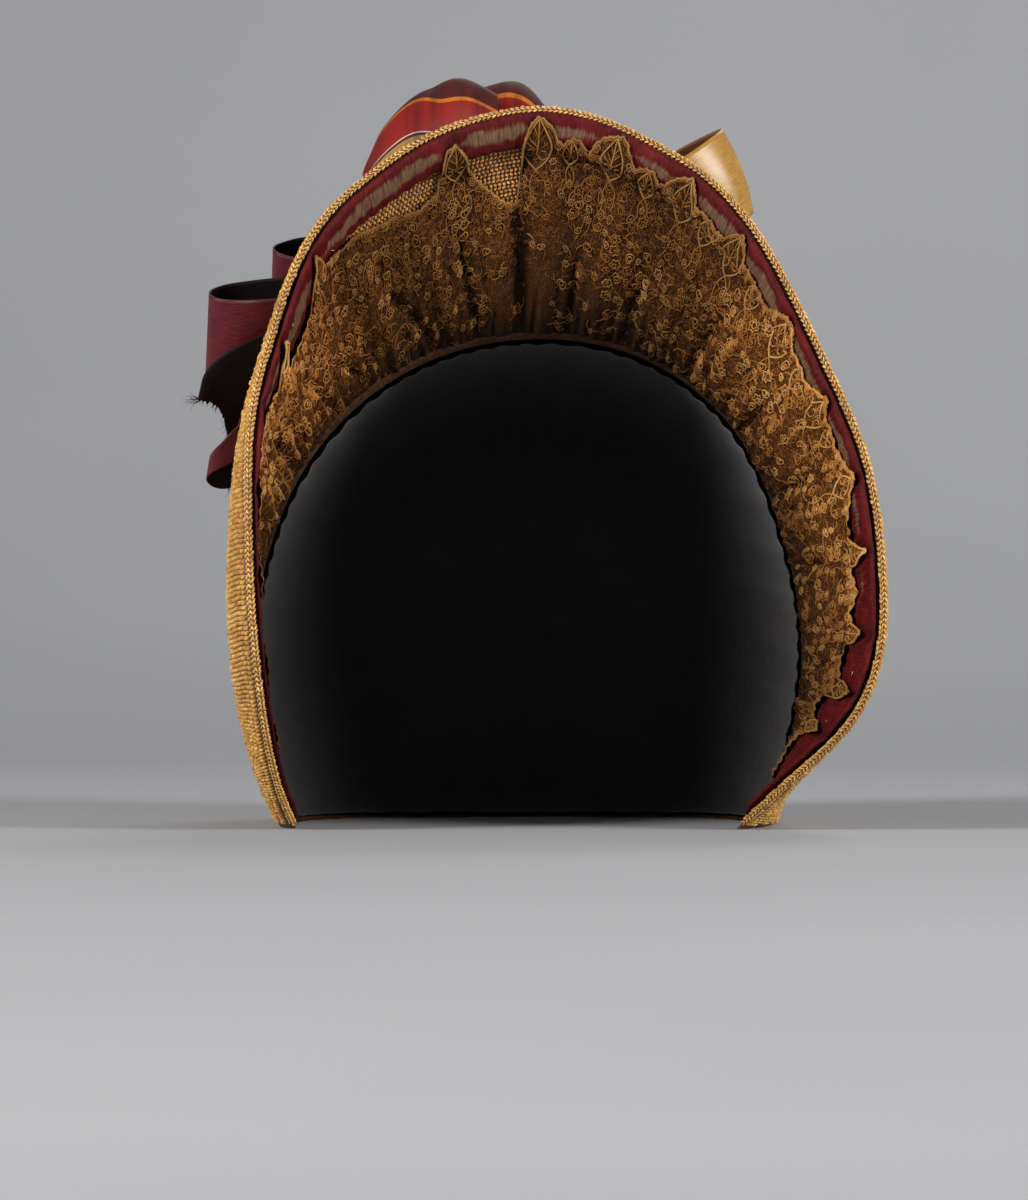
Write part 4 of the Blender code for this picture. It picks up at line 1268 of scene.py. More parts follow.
for at, count, wander, deep in pucker:
    for _ in range(count):  # puckers that fan out from each stitch of the inner edge
        where = at + r2.normal(0, 1) * wander
        slant = (where - at) * 9 + r2.normal(0, 0.004)
        x = (u[:, None] - where - slant * (0.5 + 0.5 * np.cos(w))[None, :] * 0.25) * rim.length
        creases += deep * np.exp(-((x / 0.55) ** 2)) * np.clip(across * 1.5 - 0.35, 0, 1.15)[None, :]
creases = np.minimum(creases, 0.6)
arch = np.abs(np.sin(w)) ** 0.72 * np.sign(np.sin(w) + 1e-9)
lift = np.where(
    arch[None, :] > 0,
    high[:, None] * (0.5 + 0.5 * arch[None, :] * (1 - 0.45 * creases)),
    high[:, None] * (0.5 + 0.5 * arch[None, :]),
)
near = ROLL_START + (inner[:, None] - ROLL_START) * across[None, :]
p = brim(np.broadcast_to(u[:, None], (n, m)), near, -(base + lift))
# mark: worn grey in the middle of each puff and along its crest, partly painted sheen
nth = np.clip(np.searchsorted(tips, u), 1, len(tips) - 1)
frac = np.clip((u - tips[nth - 1]) / (tips[nth] - tips[nth - 1]), 0, 1)
lens = np.sin(np.pi * frac) ** 0.55
lens = np.where((u < tips[0]) | (u > tips[-1]), 0.4, lens) * read(FINE_WORN_SHEEN, u)
off_mid = np.abs(across[None, :] - 0.46 - 0.05 * np.sin(u * 190)[:, None])
grey = np.clip((0.25 * lens[:, None] - off_mid) / 0.16 + 0.5, 0, 1) * np.clip(lens[:, None] * 1.6, 0, 1)
look = np.zeros((n, m, 3))
look[..., 0] = across[None, :]
# tint: painted shade in the pinches and creases, also darker on the flat lower left
look[..., 1] = np.clip(np.maximum(pinch[:, None] * 0.6, 0.7 * tight[:, None]) + creases * 1.3, 0, 1)
look[..., 2] = grey
uv = np.stack(np.broadcast_arrays(u[:, None], (0.02 + 0.95 * w / 6.3)[None, :]), -1)
p = np.concatenate([p.reshape(-1, 3), p[:1].mean(1), p[-1:].mean(1)])
j = np.arange(m)
caps = [
    np.stack([np.full(m, n * m), (j + 1) % m, j], 1),
    np.stack([np.full(m, n * m + 1), (n - 1) * m + j, (n - 1) * m + (j + 1) % m], 1),
]
ob = make(
    "roll",
    p,
    [quads(n, m, wrap=True), *caps],
    "velvet",
    uv=np.concatenate([uv.reshape(-1, 2), [[0, 0.5], [1, 0.5]]]),
    look=np.concatenate([look.reshape(-1, 3), np.zeros((2, 3))]),
)
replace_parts(outward(ob), "velvet_roll")

# ---------------------------------------------------------------- lace
INNER = 3.0  # the lace starts this far from the joint
fold_u = np.array([x[0] for x in FOLDS])


def lace_off(u, near):
    """How far the lace stands off the brim's middle, towards the wearer."""
    length = read(FINE_LEN, u.ravel()).reshape(u.shape)
    inner = length - INNER
    part = np.clip((inner - near) / np.maximum(inner - 12, 1), 0, 1)  # 0 joint, 1 roll
    gather = 1.5 * np.sin(np.pi * np.clip(part, 0, 1)) ** 0.8
    for at, high, half, lean, reach in FOLDS:
        x = (u - at - lean * part) * rim.length / (half * (0.8 + 0.4 * part))
        fade = np.clip((reach - part) / 0.22, 0, 1) * (0.55 + 0.45 * np.clip(part * 6, 0, 1))
        if high > 0:
            gather += high * np.exp(-(x**2)) * fade
        else:  # a crease: sharp in the middle, with a lip on each side
            gather += high * np.exp(-np.abs(x) ** 1.3) * fade + 0.5 * np.exp(-((np.abs(x) - 2.1) ** 2)) * fade
    s = u * rim.length
    small = 0.36 * np.sin(s * 2 * np.pi / 4.3 + 2.3 * np.sin(s / 13.0)) * np.clip(1 - 2.4 * part, 0, 1)
    small += 0.20 * np.sin(s * 2 * np.pi / 7.1 + 1.1 * np.sin(s / 9.0) + near * 0.12) * (1 - 0.6 * part)
    small += 0.26 * np.sin(near * 0.43 + s * 0.17 + 1.3 * np.sin(s * 0.11)) * np.sin(s * 0.29 + 1.0)
    crease = read(FINE_ROLL, u.ravel()).reshape(u.shape) + 3.0
    over = np.clip((crease - near) / 4.0, 0, 1)
    over = over * over * (3 - 2 * over)
    base = STRAW / 2 + GAP + 0.55
    top = base + np.maximum(gather + small, -0.15) * (1 - over)
    droop = np.clip((4.0 - near) / 4.0, 0, 1) * 1.2
    return top + (ROLL_HIGH + 0.05 - droop) * over + 0.22 * np.sin(s * 1.7) * over


GU, GW = 1801, 121
gu = np.linspace(0, 1, GU)[:, None]
gn = np.linspace(0, 1, GW)[None, :] * 78.0
gu, gn = (x.copy() for x in np.broadcast_arrays(gu, gn))
inward = brim(gu, gn, -1.0) - brim(gu, gn, 0.0)
lace = Surface(brim(gu, gn, -lace_off(gu, gn)), inward)

edge_u = np.array([x[0] for x in LACE_RIM])
edge_n = np.array([x[1] for x in LACE_RIM])


LEAF = 3.5  # half width of a leaf point, mm
TIP_U, TIP_N, TIP_Z = (np.array([x[i] for x in MOTIFS]) for i in range(3))
TIP_STEEP = read(FINE_STEEP, TIP_U)


def lace_edge(u):
    """mm from the rim of the free edge, with small scallops along it."""
    e = np.interp(u, edge_u, edge_n)
    e = e - 0.5 * np.abs(np.sin(u * rim.length * np.pi / 1.9)) + 0.25
    x = np.abs(u[..., None] - TIP_U) * rim.length
    y = TIP_N + 0.35 + TIP_STEEP * 6.0 * TIP_Z * (x / (LEAF * TIP_Z)) ** 1.25
    return np.minimum(e, np.where(x < LEAF * TIP_Z, y, 1e3).min(-1))


n, m = 1201, 32
u = np.linspace(0.03, 0.965, n)[:, None]
q = (np.linspace(0, 1, m)[None, :]) ** 0.85
e = lace_edge(u.ravel())[:, None]
inner = (read(FINE_LEN, u.ravel())[:, None]) - INNER
near = inner + (e - inner) * q
uu = np.broadcast_to(u, near.shape)
p = lace.at(uu, near / 78.0, 0.0)
high = lace_off(uu, near)
mean = np.array([np.convolve(np.pad(high[:, k], 30, mode="edge"), np.ones(61) / 61, "valid") for k in range(m)]).T
# crest gives a painted highlight on the fold tops; hollow_shade and joint_shade paint shade in the fold hollows and
# near the joint.
crest = np.clip(0.5 + (high - mean) * 0.55, 0, 1)
hollow_shade = np.clip(-(high - mean) * 0.75, 0, 1)
part = np.clip((inner - near) / (inner - 12), 0, 1)
open_net = np.clip(1.15 - part * 2.1, 0, 1) * np.clip(1 - np.abs(uu - 0.5) * 2.6, 0, 1)
look = np.stack([crest * 0.8, open_net, hollow_shade * 0.85], -1)
joint_shade = np.clip(1 - part * 9, 0, 1) * 0.55
look[..., 2] = np.clip(look[..., 2] + joint_shade, 0, 1)
uv = np.stack([(uu - 0.03) / 0.935, np.clip(1 - near / 78.0, 0, 1)], -1)
faces = quads(n, m)
v = p.reshape(-1, 3)
t = faces[len(faces) // 2 :: 97]
if (np.cross(v[t[:, 1]] - v[t[:, 0]], v[t[:, 2]] - v[t[:, 0]]) * lace.normal(uu.ravel()[t[:, 0]], near.ravel()[t[:, 0]] / 78.0)).sum() < 0:
    faces = faces[:, ::-1]
ob = make("lace_sheet", v, [faces], "net", uv=uv.reshape(-1, 2), look=look.reshape(-1, 3))
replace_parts(ob, "lace_frill")
half = (p[1:, 1:] - p[:-1, :-1], p[1:, :-1] - p[:-1, 1:])
area = float(np.linalg.norm(np.cross(*half), axis=-1).sum() / 2) * 1e-6


class Threads:
    """Raised threads on the lace, kept as roofs of two faces for each step."""

    def __init__(self):
        self.v, self.f, self.look, self.uv, self.n = [], [], [], [], 0

    def add(self, u, near, closed, wide, high, tone, lift=0.02):
        """u and near hold one thread in each row."""
        k, n = u.shape
        ok = (near < read(FINE_LEN, u.ravel()).reshape(u.shape) - 3.2).all(1)
        ok &= (u > 0.031).all(1) & (u < 0.964).all(1)
        ok &= (near > lace_edge(u.ravel()).reshape(u.shape) - 1.3).all(1)
        u, near = u[ok], near[ok]
        tone = np.broadcast_to(np.asarray(tone, float), (k,))[ok]
        wide = np.broadcast_to(np.asarray(wide, float), (k, n))[ok]
        high = np.broadcast_to(np.asarray(high, float), (k, n))[ok]
        k = len(u)
        if not k:
            return
        b = near / 78.0
        nrm = lace.normal(u, b)
        p = lace.at(u, b, lift)
        if closed:
            tan = np.roll(p, -1, 1) - np.roll(p, 1, 1)
        else:
            tan = np.gradient(p, axis=1)
        side = unit(np.cross(nrm, tan))
        wd = np.broadcast_to(np.asarray(wide, float), (k, n))[..., None] / 2
        hg = np.broadcast_to(np.asarray(high, float), (k, n))[..., None]
        v = np.stack([p - side * wd, p + nrm * hg, p + side * wd], 2)
        uv = np.stack([(u - 0.03) / 0.935, np.clip(1 - b, 0, 1)], -1)[:, :, None, :]
        s2 = wd[..., 0:1] / 500.0
        uv = np.concatenate([uv - s2[:, :, None] * [1, 0.0], uv, uv + s2[:, :, None] * [1, 0.0]], 2)
        steps = n if closed else n - 1
        i = np.arange(steps)
        j = (i + 1) % n
        left = np.stack([i * 3, j * 3, j * 3 + 1, i * 3 + 1], 1)
        right = np.stack([i * 3 + 1, j * 3 + 1, j * 3 + 2, i * 3 + 2], 1)
        f = np.concatenate([left, right])[None] + (np.arange(k) * n * 3)[:, None, None] + self.n
        look = np.zeros((k, n, 3, 3))
        # tone across the thread: painted shade on its sides, painted highlight on its ridge
        look[..., 0] = (np.clip(tone, 0, 1))[:, None, None] * np.array([0.45, 1.0, 0.45])
        look[..., 1] = rng.random(k)[:, None, None]
        # faces look away from the brim
        a, b2, c2 = v[0, 0, 0], v[0, 1, 0], v[0, 1, 1]
        if np.dot(np.cross(b2 - a, c2 - a), nrm[0, 0]) < 0:
            f = f[:, :, ::-1]
        self.v.append(v.reshape(-1, 3))
        self.f.append(f.reshape(-1, 4))
        self.look.append(look.reshape(-1, 3))
        self.uv.append(np.clip(uv, 0, 1).reshape(-1, 2))
        self.n += k * n * 3

    def piece(self, name):
        ob = make(name, np.concatenate(self.v), [np.concatenate(self.f)], "cord", uv=np.concatenate(self.uv), look=np.concatenate(self.look))
        return ob


def local(u0, n0, x, y):  # y grows with how steeply the brim runs back
    """Places x mm along the rim and y mm further from it than u0, n0."""
    per = np.linalg.norm(brim(u0 + 0.002, n0, 0.0) - brim(u0 - 0.002, n0, 0.0), axis=-1) / 0.004
    return u0 + x / per, n0 + y * read(FINE_STEEP, np.ravel(u0)).reshape(np.shape(u0))


edge = Threads()
# A corded edge of two threads along the scallops.
u = np.linspace(0.032, 0.963, 2301)
e = lace_edge(u)
for inset, wide, tone in ((0.15, 0.62, 0.95), (0.95, 0.42, 0.7)):
    near = e + inset
    for k in range(0, 2300, 100):
        edge.add(u[None, k : k + 101], near[None, k : k + 101], False, wide, 0.34, tone)
# Small picots outside the cord.
pu = np.linspace(0.04, 0.958, 620)
th = np.linspace(0, 2 * np.pi, 8, endpoint=False)
pe = lace_edge(pu)
ru, rn = local(pu[:, None], pe[:, None] + 0.25, 0.42 * np.cos(th)[None], 0.42 * np.sin(th)[None])
edge.add(ru, rn, True, 0.24, 0.2, 0.9)


def arc_at(u0, n0, pts, tone=0.85, wide=0.42, high=0.3, n=9):
    c = spline(np.array(pts, float), np.linspace(0, 1, n))
    ru, rn = local(u0, n0, c[:, 0], c[:, 1])
    motif.add(ru[None], rn[None], False, wide, high, tone)


motif = Threads()
r3 = np.random.default_rng(5)
for u0, n0, size in MOTIFS:
    z = size * LEAF / 3.7
    # Leaf that fills the point: outline, vein and ribs.
    for sgn in (-1, 1):
        out = [(0, 0.5), (sgn * 2.2 * z, 3.4 * z), (sgn * 3.6 * z, 6.4 * z), (sgn * 2.7 * z, 9.2 * z), (0, 11.4 * z)]
        arc_at(u0, n0, out, 1.0, 0.62, 0.44, 14)
        for y, x in ((2.2, 1.3), (3.8, 2.2), (5.4, 2.9)):
            y, x = y + r3.normal(0, 0.25), x + r3.normal(0, 0.2)
            arc_at(u0, n0, [(0, (y + 1.9) * z), (sgn * 0.55 * x * z, (y + 0.9) * z), (sgn * x * 0.94 * z, y * z)], 0.8, 0.36, 0.32, 5)
        # a scroll in each lower lobe
        th = np.linspace(0.5, 5.4, 9)
        cx, cy, cr = sgn * (1.7 + r3.normal(0, 0.15)), 8.2 + r3.normal(0, 0.3), 1.0 + r3.normal(0, 0.08)
        arc_at(u0, n0, [((cx + sgn * cr * np.cos(t)) * z, (cy + cr * np.sin(t)) * z) for t in th], 0.95, 0.38, 0.4, 11)
    arc_at(u0, n0, [(0, 0.8), (0.15, 5 * z), (0, 8.4 * z)], 0.95, 0.44, 0.42, 8)
    # Stems that run on from the leaf.
    arc_at(u0, n0, [(0, 11.6 * z), (-1.2 * z, 14.5 * z), (-0.4 * z, 18.0 * z), (-2.0 * z, 21.0 * z)], 0.9, 0.44, 0.36, 12)
    arc_at(u0, n0, [(0, 11.6 * z), (2.4 * z, 13.5 * z), (3.0 * z, 17.0 * z)], 0.85, 0.42, 0.34, 9)


def flowers(kit, a, near, radius, spin, petals):
    """Rows of flowers: a wavy or open ring round a small one, with dark eyes."""
    n = 19 if petals else 12
    th = np.linspace(0, 2 * np.pi, n, endpoint=False)[None, :]
    r, sp = radius[:, None], spin[:, None]
    if petals:
        wave = 0.78 + 0.22 * np.cos(6 * th + sp) + 0.07 * np.cos(2 * th + 2 * sp)
    else:
        wave = 0.74 + 0.16 * np.cos(2 * th + sp) + 0.10 * np.cos(3 * th + 3 * sp)
    shade = np.clip(0.86 + 0.14 * np.sin(spin * 3) + r3.normal(0, 0.07, len(a)), 0, 1)
    fu, fn = local(a[:, None], near[:, None], r * wave * np.cos(th), r * wave * np.sin(th))
    kit.add(fu, fn, True, 0.38, 0.46, shade, lift=0.06)
    n = 7
    th = np.linspace(0, 2 * np.pi, n, endpoint=False)[None, :]
    dx, dy = (r * r3.normal(0, 0.10, (len(a), 1)) for _ in range(2))
    size = r * r3.uniform(0.26, 0.46, (len(a), 1))
    fu, fn = local(a[:, None], near[:, None], dx + size * np.cos(th), dy + size * np.sin(th))
    kit.add(fu, fn, True, 0.32, 0.48, shade, lift=0.06)


def stems(kit, a, near, radius, turn, long, bend, tone):
    t = np.linspace(0, 1, 5)[None, :]
    far = radius[:, None] * 0.9 + long[:, None] * t
    way = turn[:, None] + bend[:, None] * t
    su, sn = local(a[:, None], near[:, None], far * np.cos(way), far * np.sin(way))
    kit.add(su, sn, False, 0.34, 0.34, tone, lift=0.03)


def in_leaf(a, near):
    x = np.abs(a[:, None] - TIP_U) * rim.length
    y = (near[:, None] - TIP_N) / TIP_STEEP
    return ((x < (LEAF + 0.3) * TIP_Z) & (y > -1) & (y < 11.0 * TIP_Z)).any(1)


# Rings along the free edge, a ring's width in from it.
fine = np.linspace(0.034, 0.961, 6001)
fine_e = lace_edge(fine)
bent_by = np.stack([np.gradient(fine * rim.length), np.gradient(fine_e)], 1)
run = np.concatenate([[0], np.cumsum(np.linalg.norm(brim(fine[1:], fine_e[1:]) - brim(fine[:-1], fine_e[:-1]), axis=1))])
at = np.arange(1.2, run[-1], 2.75)
k = np.searchsorted(run, at)
way = unit(np.stack([-bent_by[k, 1], bent_by[k, 0]], 1))
ea, en = fine[k] + way[:, 0] * 1.25 / rim.length, fine_e[k] + way[:, 1] * 1.25 * read(FINE_STEEP, fine[k])
keep = ~in_leaf(ea, en)
ea, en = ea[keep], en[keep]
places = [(ea, en, np.full(len(ea), 1.12))]
# Rings all over, in loose rows, thinner towards the crown.
row, k = 3.15, 1
while k * row < 78:
    fine = np.linspace(0.034, 0.961, 1200)
    fn = k * row * read(FINE_STEEP, fine)
    ok = fn < read(FINE_LEN, fine)
    q = brim(fine, np.minimum(fn, 77.0))
    run = np.concatenate([[0], np.cumsum(np.linalg.norm(np.diff(q, axis=0), axis=1) * ok[1:])])
    a = np.interp(np.arange(1.6 * (k % 2), run[-1], 3.35), run, fine)
    a = a + r3.normal(0, 0.55, len(a)) / rim.length
    near = k * row * read(FINE_STEEP, a) + r3.normal(0, 0.55, len(a))
    length = read(FINE_LEN, a)
    part = (length - near) / np.maximum(length - 10, 1)
    net = np.exp(-(((a - 0.492) / 0.05) ** 2)) * (part < 0.66)
    chance = np.clip(0.50 + 0.75 * part, 0, 0.96) * (1 - 0.75 * net)
    keep = (near > lace_edge(a) + 3.1 * read(FINE_STEEP, a)) & (near < length - 5.0) & ~in_leaf(a, near)
    cloud = 0.5 + 0.5 * np.sin(a * rim.length * 0.33 + 2 * np.sin(near * 0.19)) * np.sin(near * 0.31 + 1.5 * np.sin(a * 37))
    keep &= r3.random(len(a)) < chance * (0.55 + 0.6 * cloud)
    places.append((a[keep], near[keep], r3.uniform(0.85, 1.75, keep.sum())))
    k += 1
fa, fn, fr = (np.concatenate([x[i] for x in places]) for i in range(3))
spin = r3.uniform(0, 2 * np.pi, len(fa))
kind = r3.random(len(fa)) < 0.5
bloom = []
for nth, pick in enumerate((kind, ~kind)):
    kit = Threads()
    flowers(kit, fa[pick], fn[pick], fr[pick], spin[pick], nth == 0)
    for step in range(3):
        turn = spin[pick] + step * 2.1 + r3.normal(0, 0.3, pick.sum())
        stems(kit, fa[pick], fn[pick], fr[pick], turn, r3.uniform(1.2, 2.6, pick.sum()), r3.choice([-1, 1], pick.sum()) * r3.uniform(0.3, 0.9, pick.sum()), r3.uniform(0.35, 0.9, pick.sum()))
    bloom.append(kit.piece("lace_flowers_" + "ab"[nth]))

# The busy ground: short bent threads all over, fewer towards the crown.
def worms(name, count, seed, dense):
    r = np.random.default_rng(seed)
    steps = 6
    a = r.uniform(0.032, 0.963, count)
    length = read(FINE_LEN, a)
    lo = lace_edge(a) + 0.5
    hi = length - INNER - 0.5
    # more places where the brim is wide
    near = r.uniform(1.5, 72, count)
    part = (hi - near) / np.maximum(hi - lo, 1)
    cluster = np.sin(a * rim.length * 0.62 + 3 * np.sin(near * 0.21)) * np.sin(near * 0.58 + 2 * np.sin(a * 61))
    keep = (near > lo) & (near < hi) & (r.random(count) < dense(a, part) * (1 + 0.35 * cluster))
    a, near = a[keep][:, None], near[keep][:, None]
    k = len(a)
    free = ~in_leaf(a[:, 0], near[:, 0])
    a, near = a[free], near[free]
    k = len(a)
    turn = r.uniform(0, 2 * np.pi, (k, 1)) + np.cumsum(
        np.repeat(r.choice([-1, 1], (k, 1)) * r.uniform(0.45, 1.15, (k, 1)), steps, 1) + r.normal(0, 0.28, (k, steps)), 1
    )
    ds = r.uniform(0.34, 0.66, (k, 1))
    x = np.cumsum(ds * np.cos(turn), 1)
    y = np.cumsum(ds * np.sin(turn), 1)
    x, y = x - x.mean(1, keepdims=True), y - y.mean(1, keepdims=True)
    per = np.linalg.norm(brim(a[:, 0] + 0.002, near[:, 0], 0.0) - brim(a[:, 0] - 0.002, near[:, 0], 0.0), axis=-1)[:, None] / 0.004
    uu, nn = a + x / per, near + y
    ok = (nn > lace_edge(uu.ravel()).reshape(uu.shape) + 0.2).all(1) & (uu > 0.031).all(1) & (uu < 0.964).all(1)
    uu, nn = uu[ok], nn[ok]
    k = len(uu)
    b = nn / 78.0
    nrm = lace.normal(uu, b)
    p = lace.at(uu, b, 0.0)
    side = unit(np.cross(nrm, np.gradient(p, axis=1)))
    wide = r.uniform(0.24, 0.36, (k, 1, 1)) / 2
    low = r.uniform(0.03, 0.10, (k, 1, 1))
    tilt = r.uniform(0.04, 0.14, (k, 1, 1))
    arch = np.sin(np.linspace(0, np.pi, steps))[None, :, None] * r.uniform(0.0, 0.12, (k, 1, 1))
    v = np.stack([p - side * wide + nrm * (low + arch), p + side * wide + nrm * (low + arch + tilt)], 2)
    look = np.zeros((k, steps, 2, 3))
    tone = r.uniform(0.15, 0.62, (k, 1, 1))
    # the lower edge of each curl is painted darker and its raised edge lighter: painted shade and highlight
    look[..., 0] = tone * np.array([0.62, 1.0])
    look[..., 1] = r.random((k, 1, 1))
    uv = np.stack([(uu - 0.03) / 0.935, np.clip(1 - b, 0, 1)], -1)[:, :, None, :]
    uv = np.concatenate([uv - [0.0004, 0], uv + [0.0004, 0.0009]], 2)
    i = np.arange(steps - 1)
    f = np.stack([i * 2, (i + 1) * 2, (i + 1) * 2 + 1, i * 2 + 1], 1)
    f = (f[None] + (np.arange(k) * steps * 2)[:, None, None]).reshape(-1, 4)
    vv = v.reshape(-1, 3)
    n0 = np.cross(vv[f[:, 1]] - vv[f[:, 0]], vv[f[:, 2]] - vv[f[:, 0]])
    if (n0 * np.repeat(nrm[:, :-1], 1, axis=1).reshape(-1, 3)).sum() < 0:
        f = f[:, ::-1]
    ob = make(name, vv, [f], "cord", uv=np.clip(uv, 0, 1).reshape(-1, 2), look=look.reshape(-1, 3))
    return ob


def thick_ground(a, part):
    net = np.exp(-(((a - 0.50) / 0.06) ** 2)) * (part < 0.62)
    return np.clip(0.30 + 1.0 * part - 0.55 * net, 0.06, 1.0)


curls = [worms("lace_curls", 15000, 21, thick_ground), *bloom]

with_lace = [edge.piece("lace_edge_cord"), motif.piece("lace_motifs"), *curls]

# ---------------------------------------------------------------- ribbons
samples_u, samples_n = np.meshgrid(np.linspace(0, 1, 241), np.linspace(0, 76, 61), indexing="ij")
sp = brim(samples_u, samples_n, 0.0)
sq_ = brim(samples_u, samples_n, 1.0)
okk = (samples_n < read(FINE_LEN, samples_u.ravel()).reshape(samples_u.shape)).ravel()
cp = crown.p[::4, ::3].reshape(-1, 3)
cn = crown.n[::4, ::3].reshape(-1, 3)
SP = np.concatenate([sp.reshape(-1, 3)[okk], cp])
SN = unit(np.concatenate([(sq_ - sp).reshape(-1, 3)[okk], cn]))


TREE = KDTree(len(SP))
for i, q in enumerate(SP):
    TREE.insert(q, i)
TREE.balance()


def clear_of_straw(mid, least):
    """Moves points that come too near the straw out along its normals."""
    flat = mid.reshape(-1, 3).copy()
    for _ in range(3):
        k = np.array([[(h[1], h[2]) for h in TREE.find_n(q, 3)] for q in flat])
        near, dist = k[..., 0].astype(int), k[..., 1].min(1)
        d = ((flat[:, None] - SP[near]) * SN[near]).sum(-1)
        j, row = np.argmin(d, axis=1), np.arange(len(flat))
        need = (d[row, j] < least) & (dist < 14)
        flat = np.where(need[:, None], flat + SN[near[row, j]] * (least - d[row, j])[:, None], flat)
    return flat.reshape(mid.shape)


def ribbon(name, mid, thick, mat, node, tone=None, back=None, eye=None):
    """A closed thin sheet round a grid of middle points. The face side looks away from
    the sheet's middle, or towards the place eye."""
    n, m = mid.shape[:2]
    nrm = unit(np.cross(np.gradient(mid, axis=0), np.gradient(mid, axis=1)))
    look_at = (np.array(eye) - mid) if eye is not None else (mid - mid.reshape(-1, 3).mean(0))
    if (nrm * look_at).sum() < 0:
        mid = mid[:, ::-1]
        tone = tone[:, ::-1] if tone is not None else None
    nrm = unit(np.cross(np.gradient(mid, axis=0), np.gradient(mid, axis=1)))
    a, b = mid + nrm * thick / 2, mid - nrm * thick / 2
    top, low, side = slab_faces(n, m)
    s = np.linspace(0, 1, n)[:, None]
    w = np.linspace(0, 1, m)[None, :]
    uv = np.stack(np.broadcast_arrays(s * 0.96 + 0.02, w * 0.46 + 0.02), -1).reshape(-1, 2)
    look = np.zeros((2, n, m, 3))
    look[..., 0] = w if tone is None else tone
    look[..., 1] = s
    fm = np.concatenate([np.zeros(len(top)), np.ones(len(low)) * (back is not None), np.zeros(len(side))])
    ob = make(
        name,
        np.concatenate([a.reshape(-1, 3), b.reshape(-1, 3)]),
        [top, low, side],
        [mat, back] if back else mat,
        uv=np.concatenate([uv, uv + [0, 0.5]]),
        look=look.reshape(-1, 3),
        face_mat=fm,
    )
    outward(ob)
    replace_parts(ob, node)
    return ob


def band(rows, n, m, sag=0.0, seed=0, ripple=0.12):
    """Middle points of a ribbon from its rows, with a slight ripple along its edges."""
    p = spline(rows, np.linspace(0, 1, n))
    c, h = p[:, :3], p[:, 3:]
    side = np.linspace(-1, 1, m)
    mid = c[:, None] + h[:, None] * side[None, :, None]
    nrm = unit(np.cross(np.gradient(mid, axis=0), np.gradient(mid, axis=1)))
    r = np.random.default_rng(seed)
    s = np.linspace(0, 1, n)[:, None]
    wave = sum(
        np.sin(2 * np.pi * (k * s + r.random()) + r.normal(0, 1) * side[None, :]) / k for k in (1, 2, 3, 5)
    )
    bow = sag * (1 - side[None, :] ** 2)
    return mid + nrm * (ripple * wave * (0.4 + side[None, :] ** 2) + bow)[..., None]


mid = clear_of_straw(band(LOOP_UPPER, 90, 22, seed=1), STRAW / 2 + 1.1)
ribbon("wine_loop_upper", mid, 0.4, "wine", "burgundy_loop_upper", back="wine_back")
mid = clear_of_straw(band(LOOP_LOWER, 110, 24, seed=2), STRAW / 2 + 1.1)
ribbon("wine_loop_lower", mid, 0.4, "wine", "burgundy_loop_lower", back="wine_back")

# Notched tail, its shaded side to the front.
mid = band(TAIL_DARK, 60, 30, sag=-0.8, seed=3)
side = np.linspace(-1, 1, 30)
notch = np.interp(side, [-1, -0.6, -0.1, 0.25, 0.65, 1.0], [1.0, 0.90, 0.80, 0.84, 0.93, 1.0])
r5 = np.random.default_rng(9)
ragged = notch + r5.normal(0, 0.012, 30)
s = np.linspace(0, 1, 60)
tail = np.zeros_like(mid)
for k in range(30):
    at = s * ragged[k]
    for x in range(3):
        tail[:, k, x] = np.interp(at, s, mid[:, k, x])
mid = clear_of_straw(tail, STRAW / 2 + 1.0)
tail_end = mid[-1]
tail_dir = unit(mid[-1] - mid[-8])
ribbon("wine_tail_dark", mid, 0.4, "wine_back", "burgundy_tail_dark", back="wine_back")
mid = clear_of_straw(band(TAIL_FOLDED, 60, 22, seed=4, ripple=0.08), STRAW / 2 + 1.0)
fold_end = mid[-1]
fold_dir = unit(mid[-1] - mid[-6])
ribbon("wine_tail_folded", mid, 0.4, "wine", "burgundy_tail_folded", back="wine_back", eye=(-90, -300, 150))

mid = clear_of_straw(band(GOLD_LOOP, 100, 24, sag=1.3, seed=6), STRAW / 2 + 1.1)
ribbon("gold_loop_face", mid, 0.4, "gold", "gold_loop", back="gold_back_shade")


def puff(rows, n, m, seed):
    p = spline(rows, np.linspace(0, 1, n))
    t = np.linspace(0, 1, m)
    mid = np.zeros((n, m, 3))
    for i, (x, fy, fz, cy, cz, by, bz) in enumerate(p):
        over = np.array([(0, fy, fz), (0, fy - 0.5, cz - 6), (0, cy, cz), (0, (cy + by) / 2 + 0.18 * (by - cy), cz - 9), (0, by + 2, bz)])
        mid[i] = spline(over, t) + [x, 0, 0]
    return mid


def wrinkled(mid, folds):
    """Soft folds along and across a puff: each row is place, place, height, widths, slant."""
    n, m = mid.shape[:2]
    nrm = unit(np.cross(np.gradient(mid, axis=0), np.gradient(mid, axis=1)))
    s = np.linspace(0, 1, n)[:, None]
    w = np.linspace(0, 1, m)[None, :]
    h = np.zeros((n, m))
    for a, b, high, wa, wb, slant in folds:
        h += high * np.exp(-(((s - a - slant * (w - b)) / wa) ** 2) - ((w - b) / wb) ** 2)
    return mid + nrm * h[..., None]


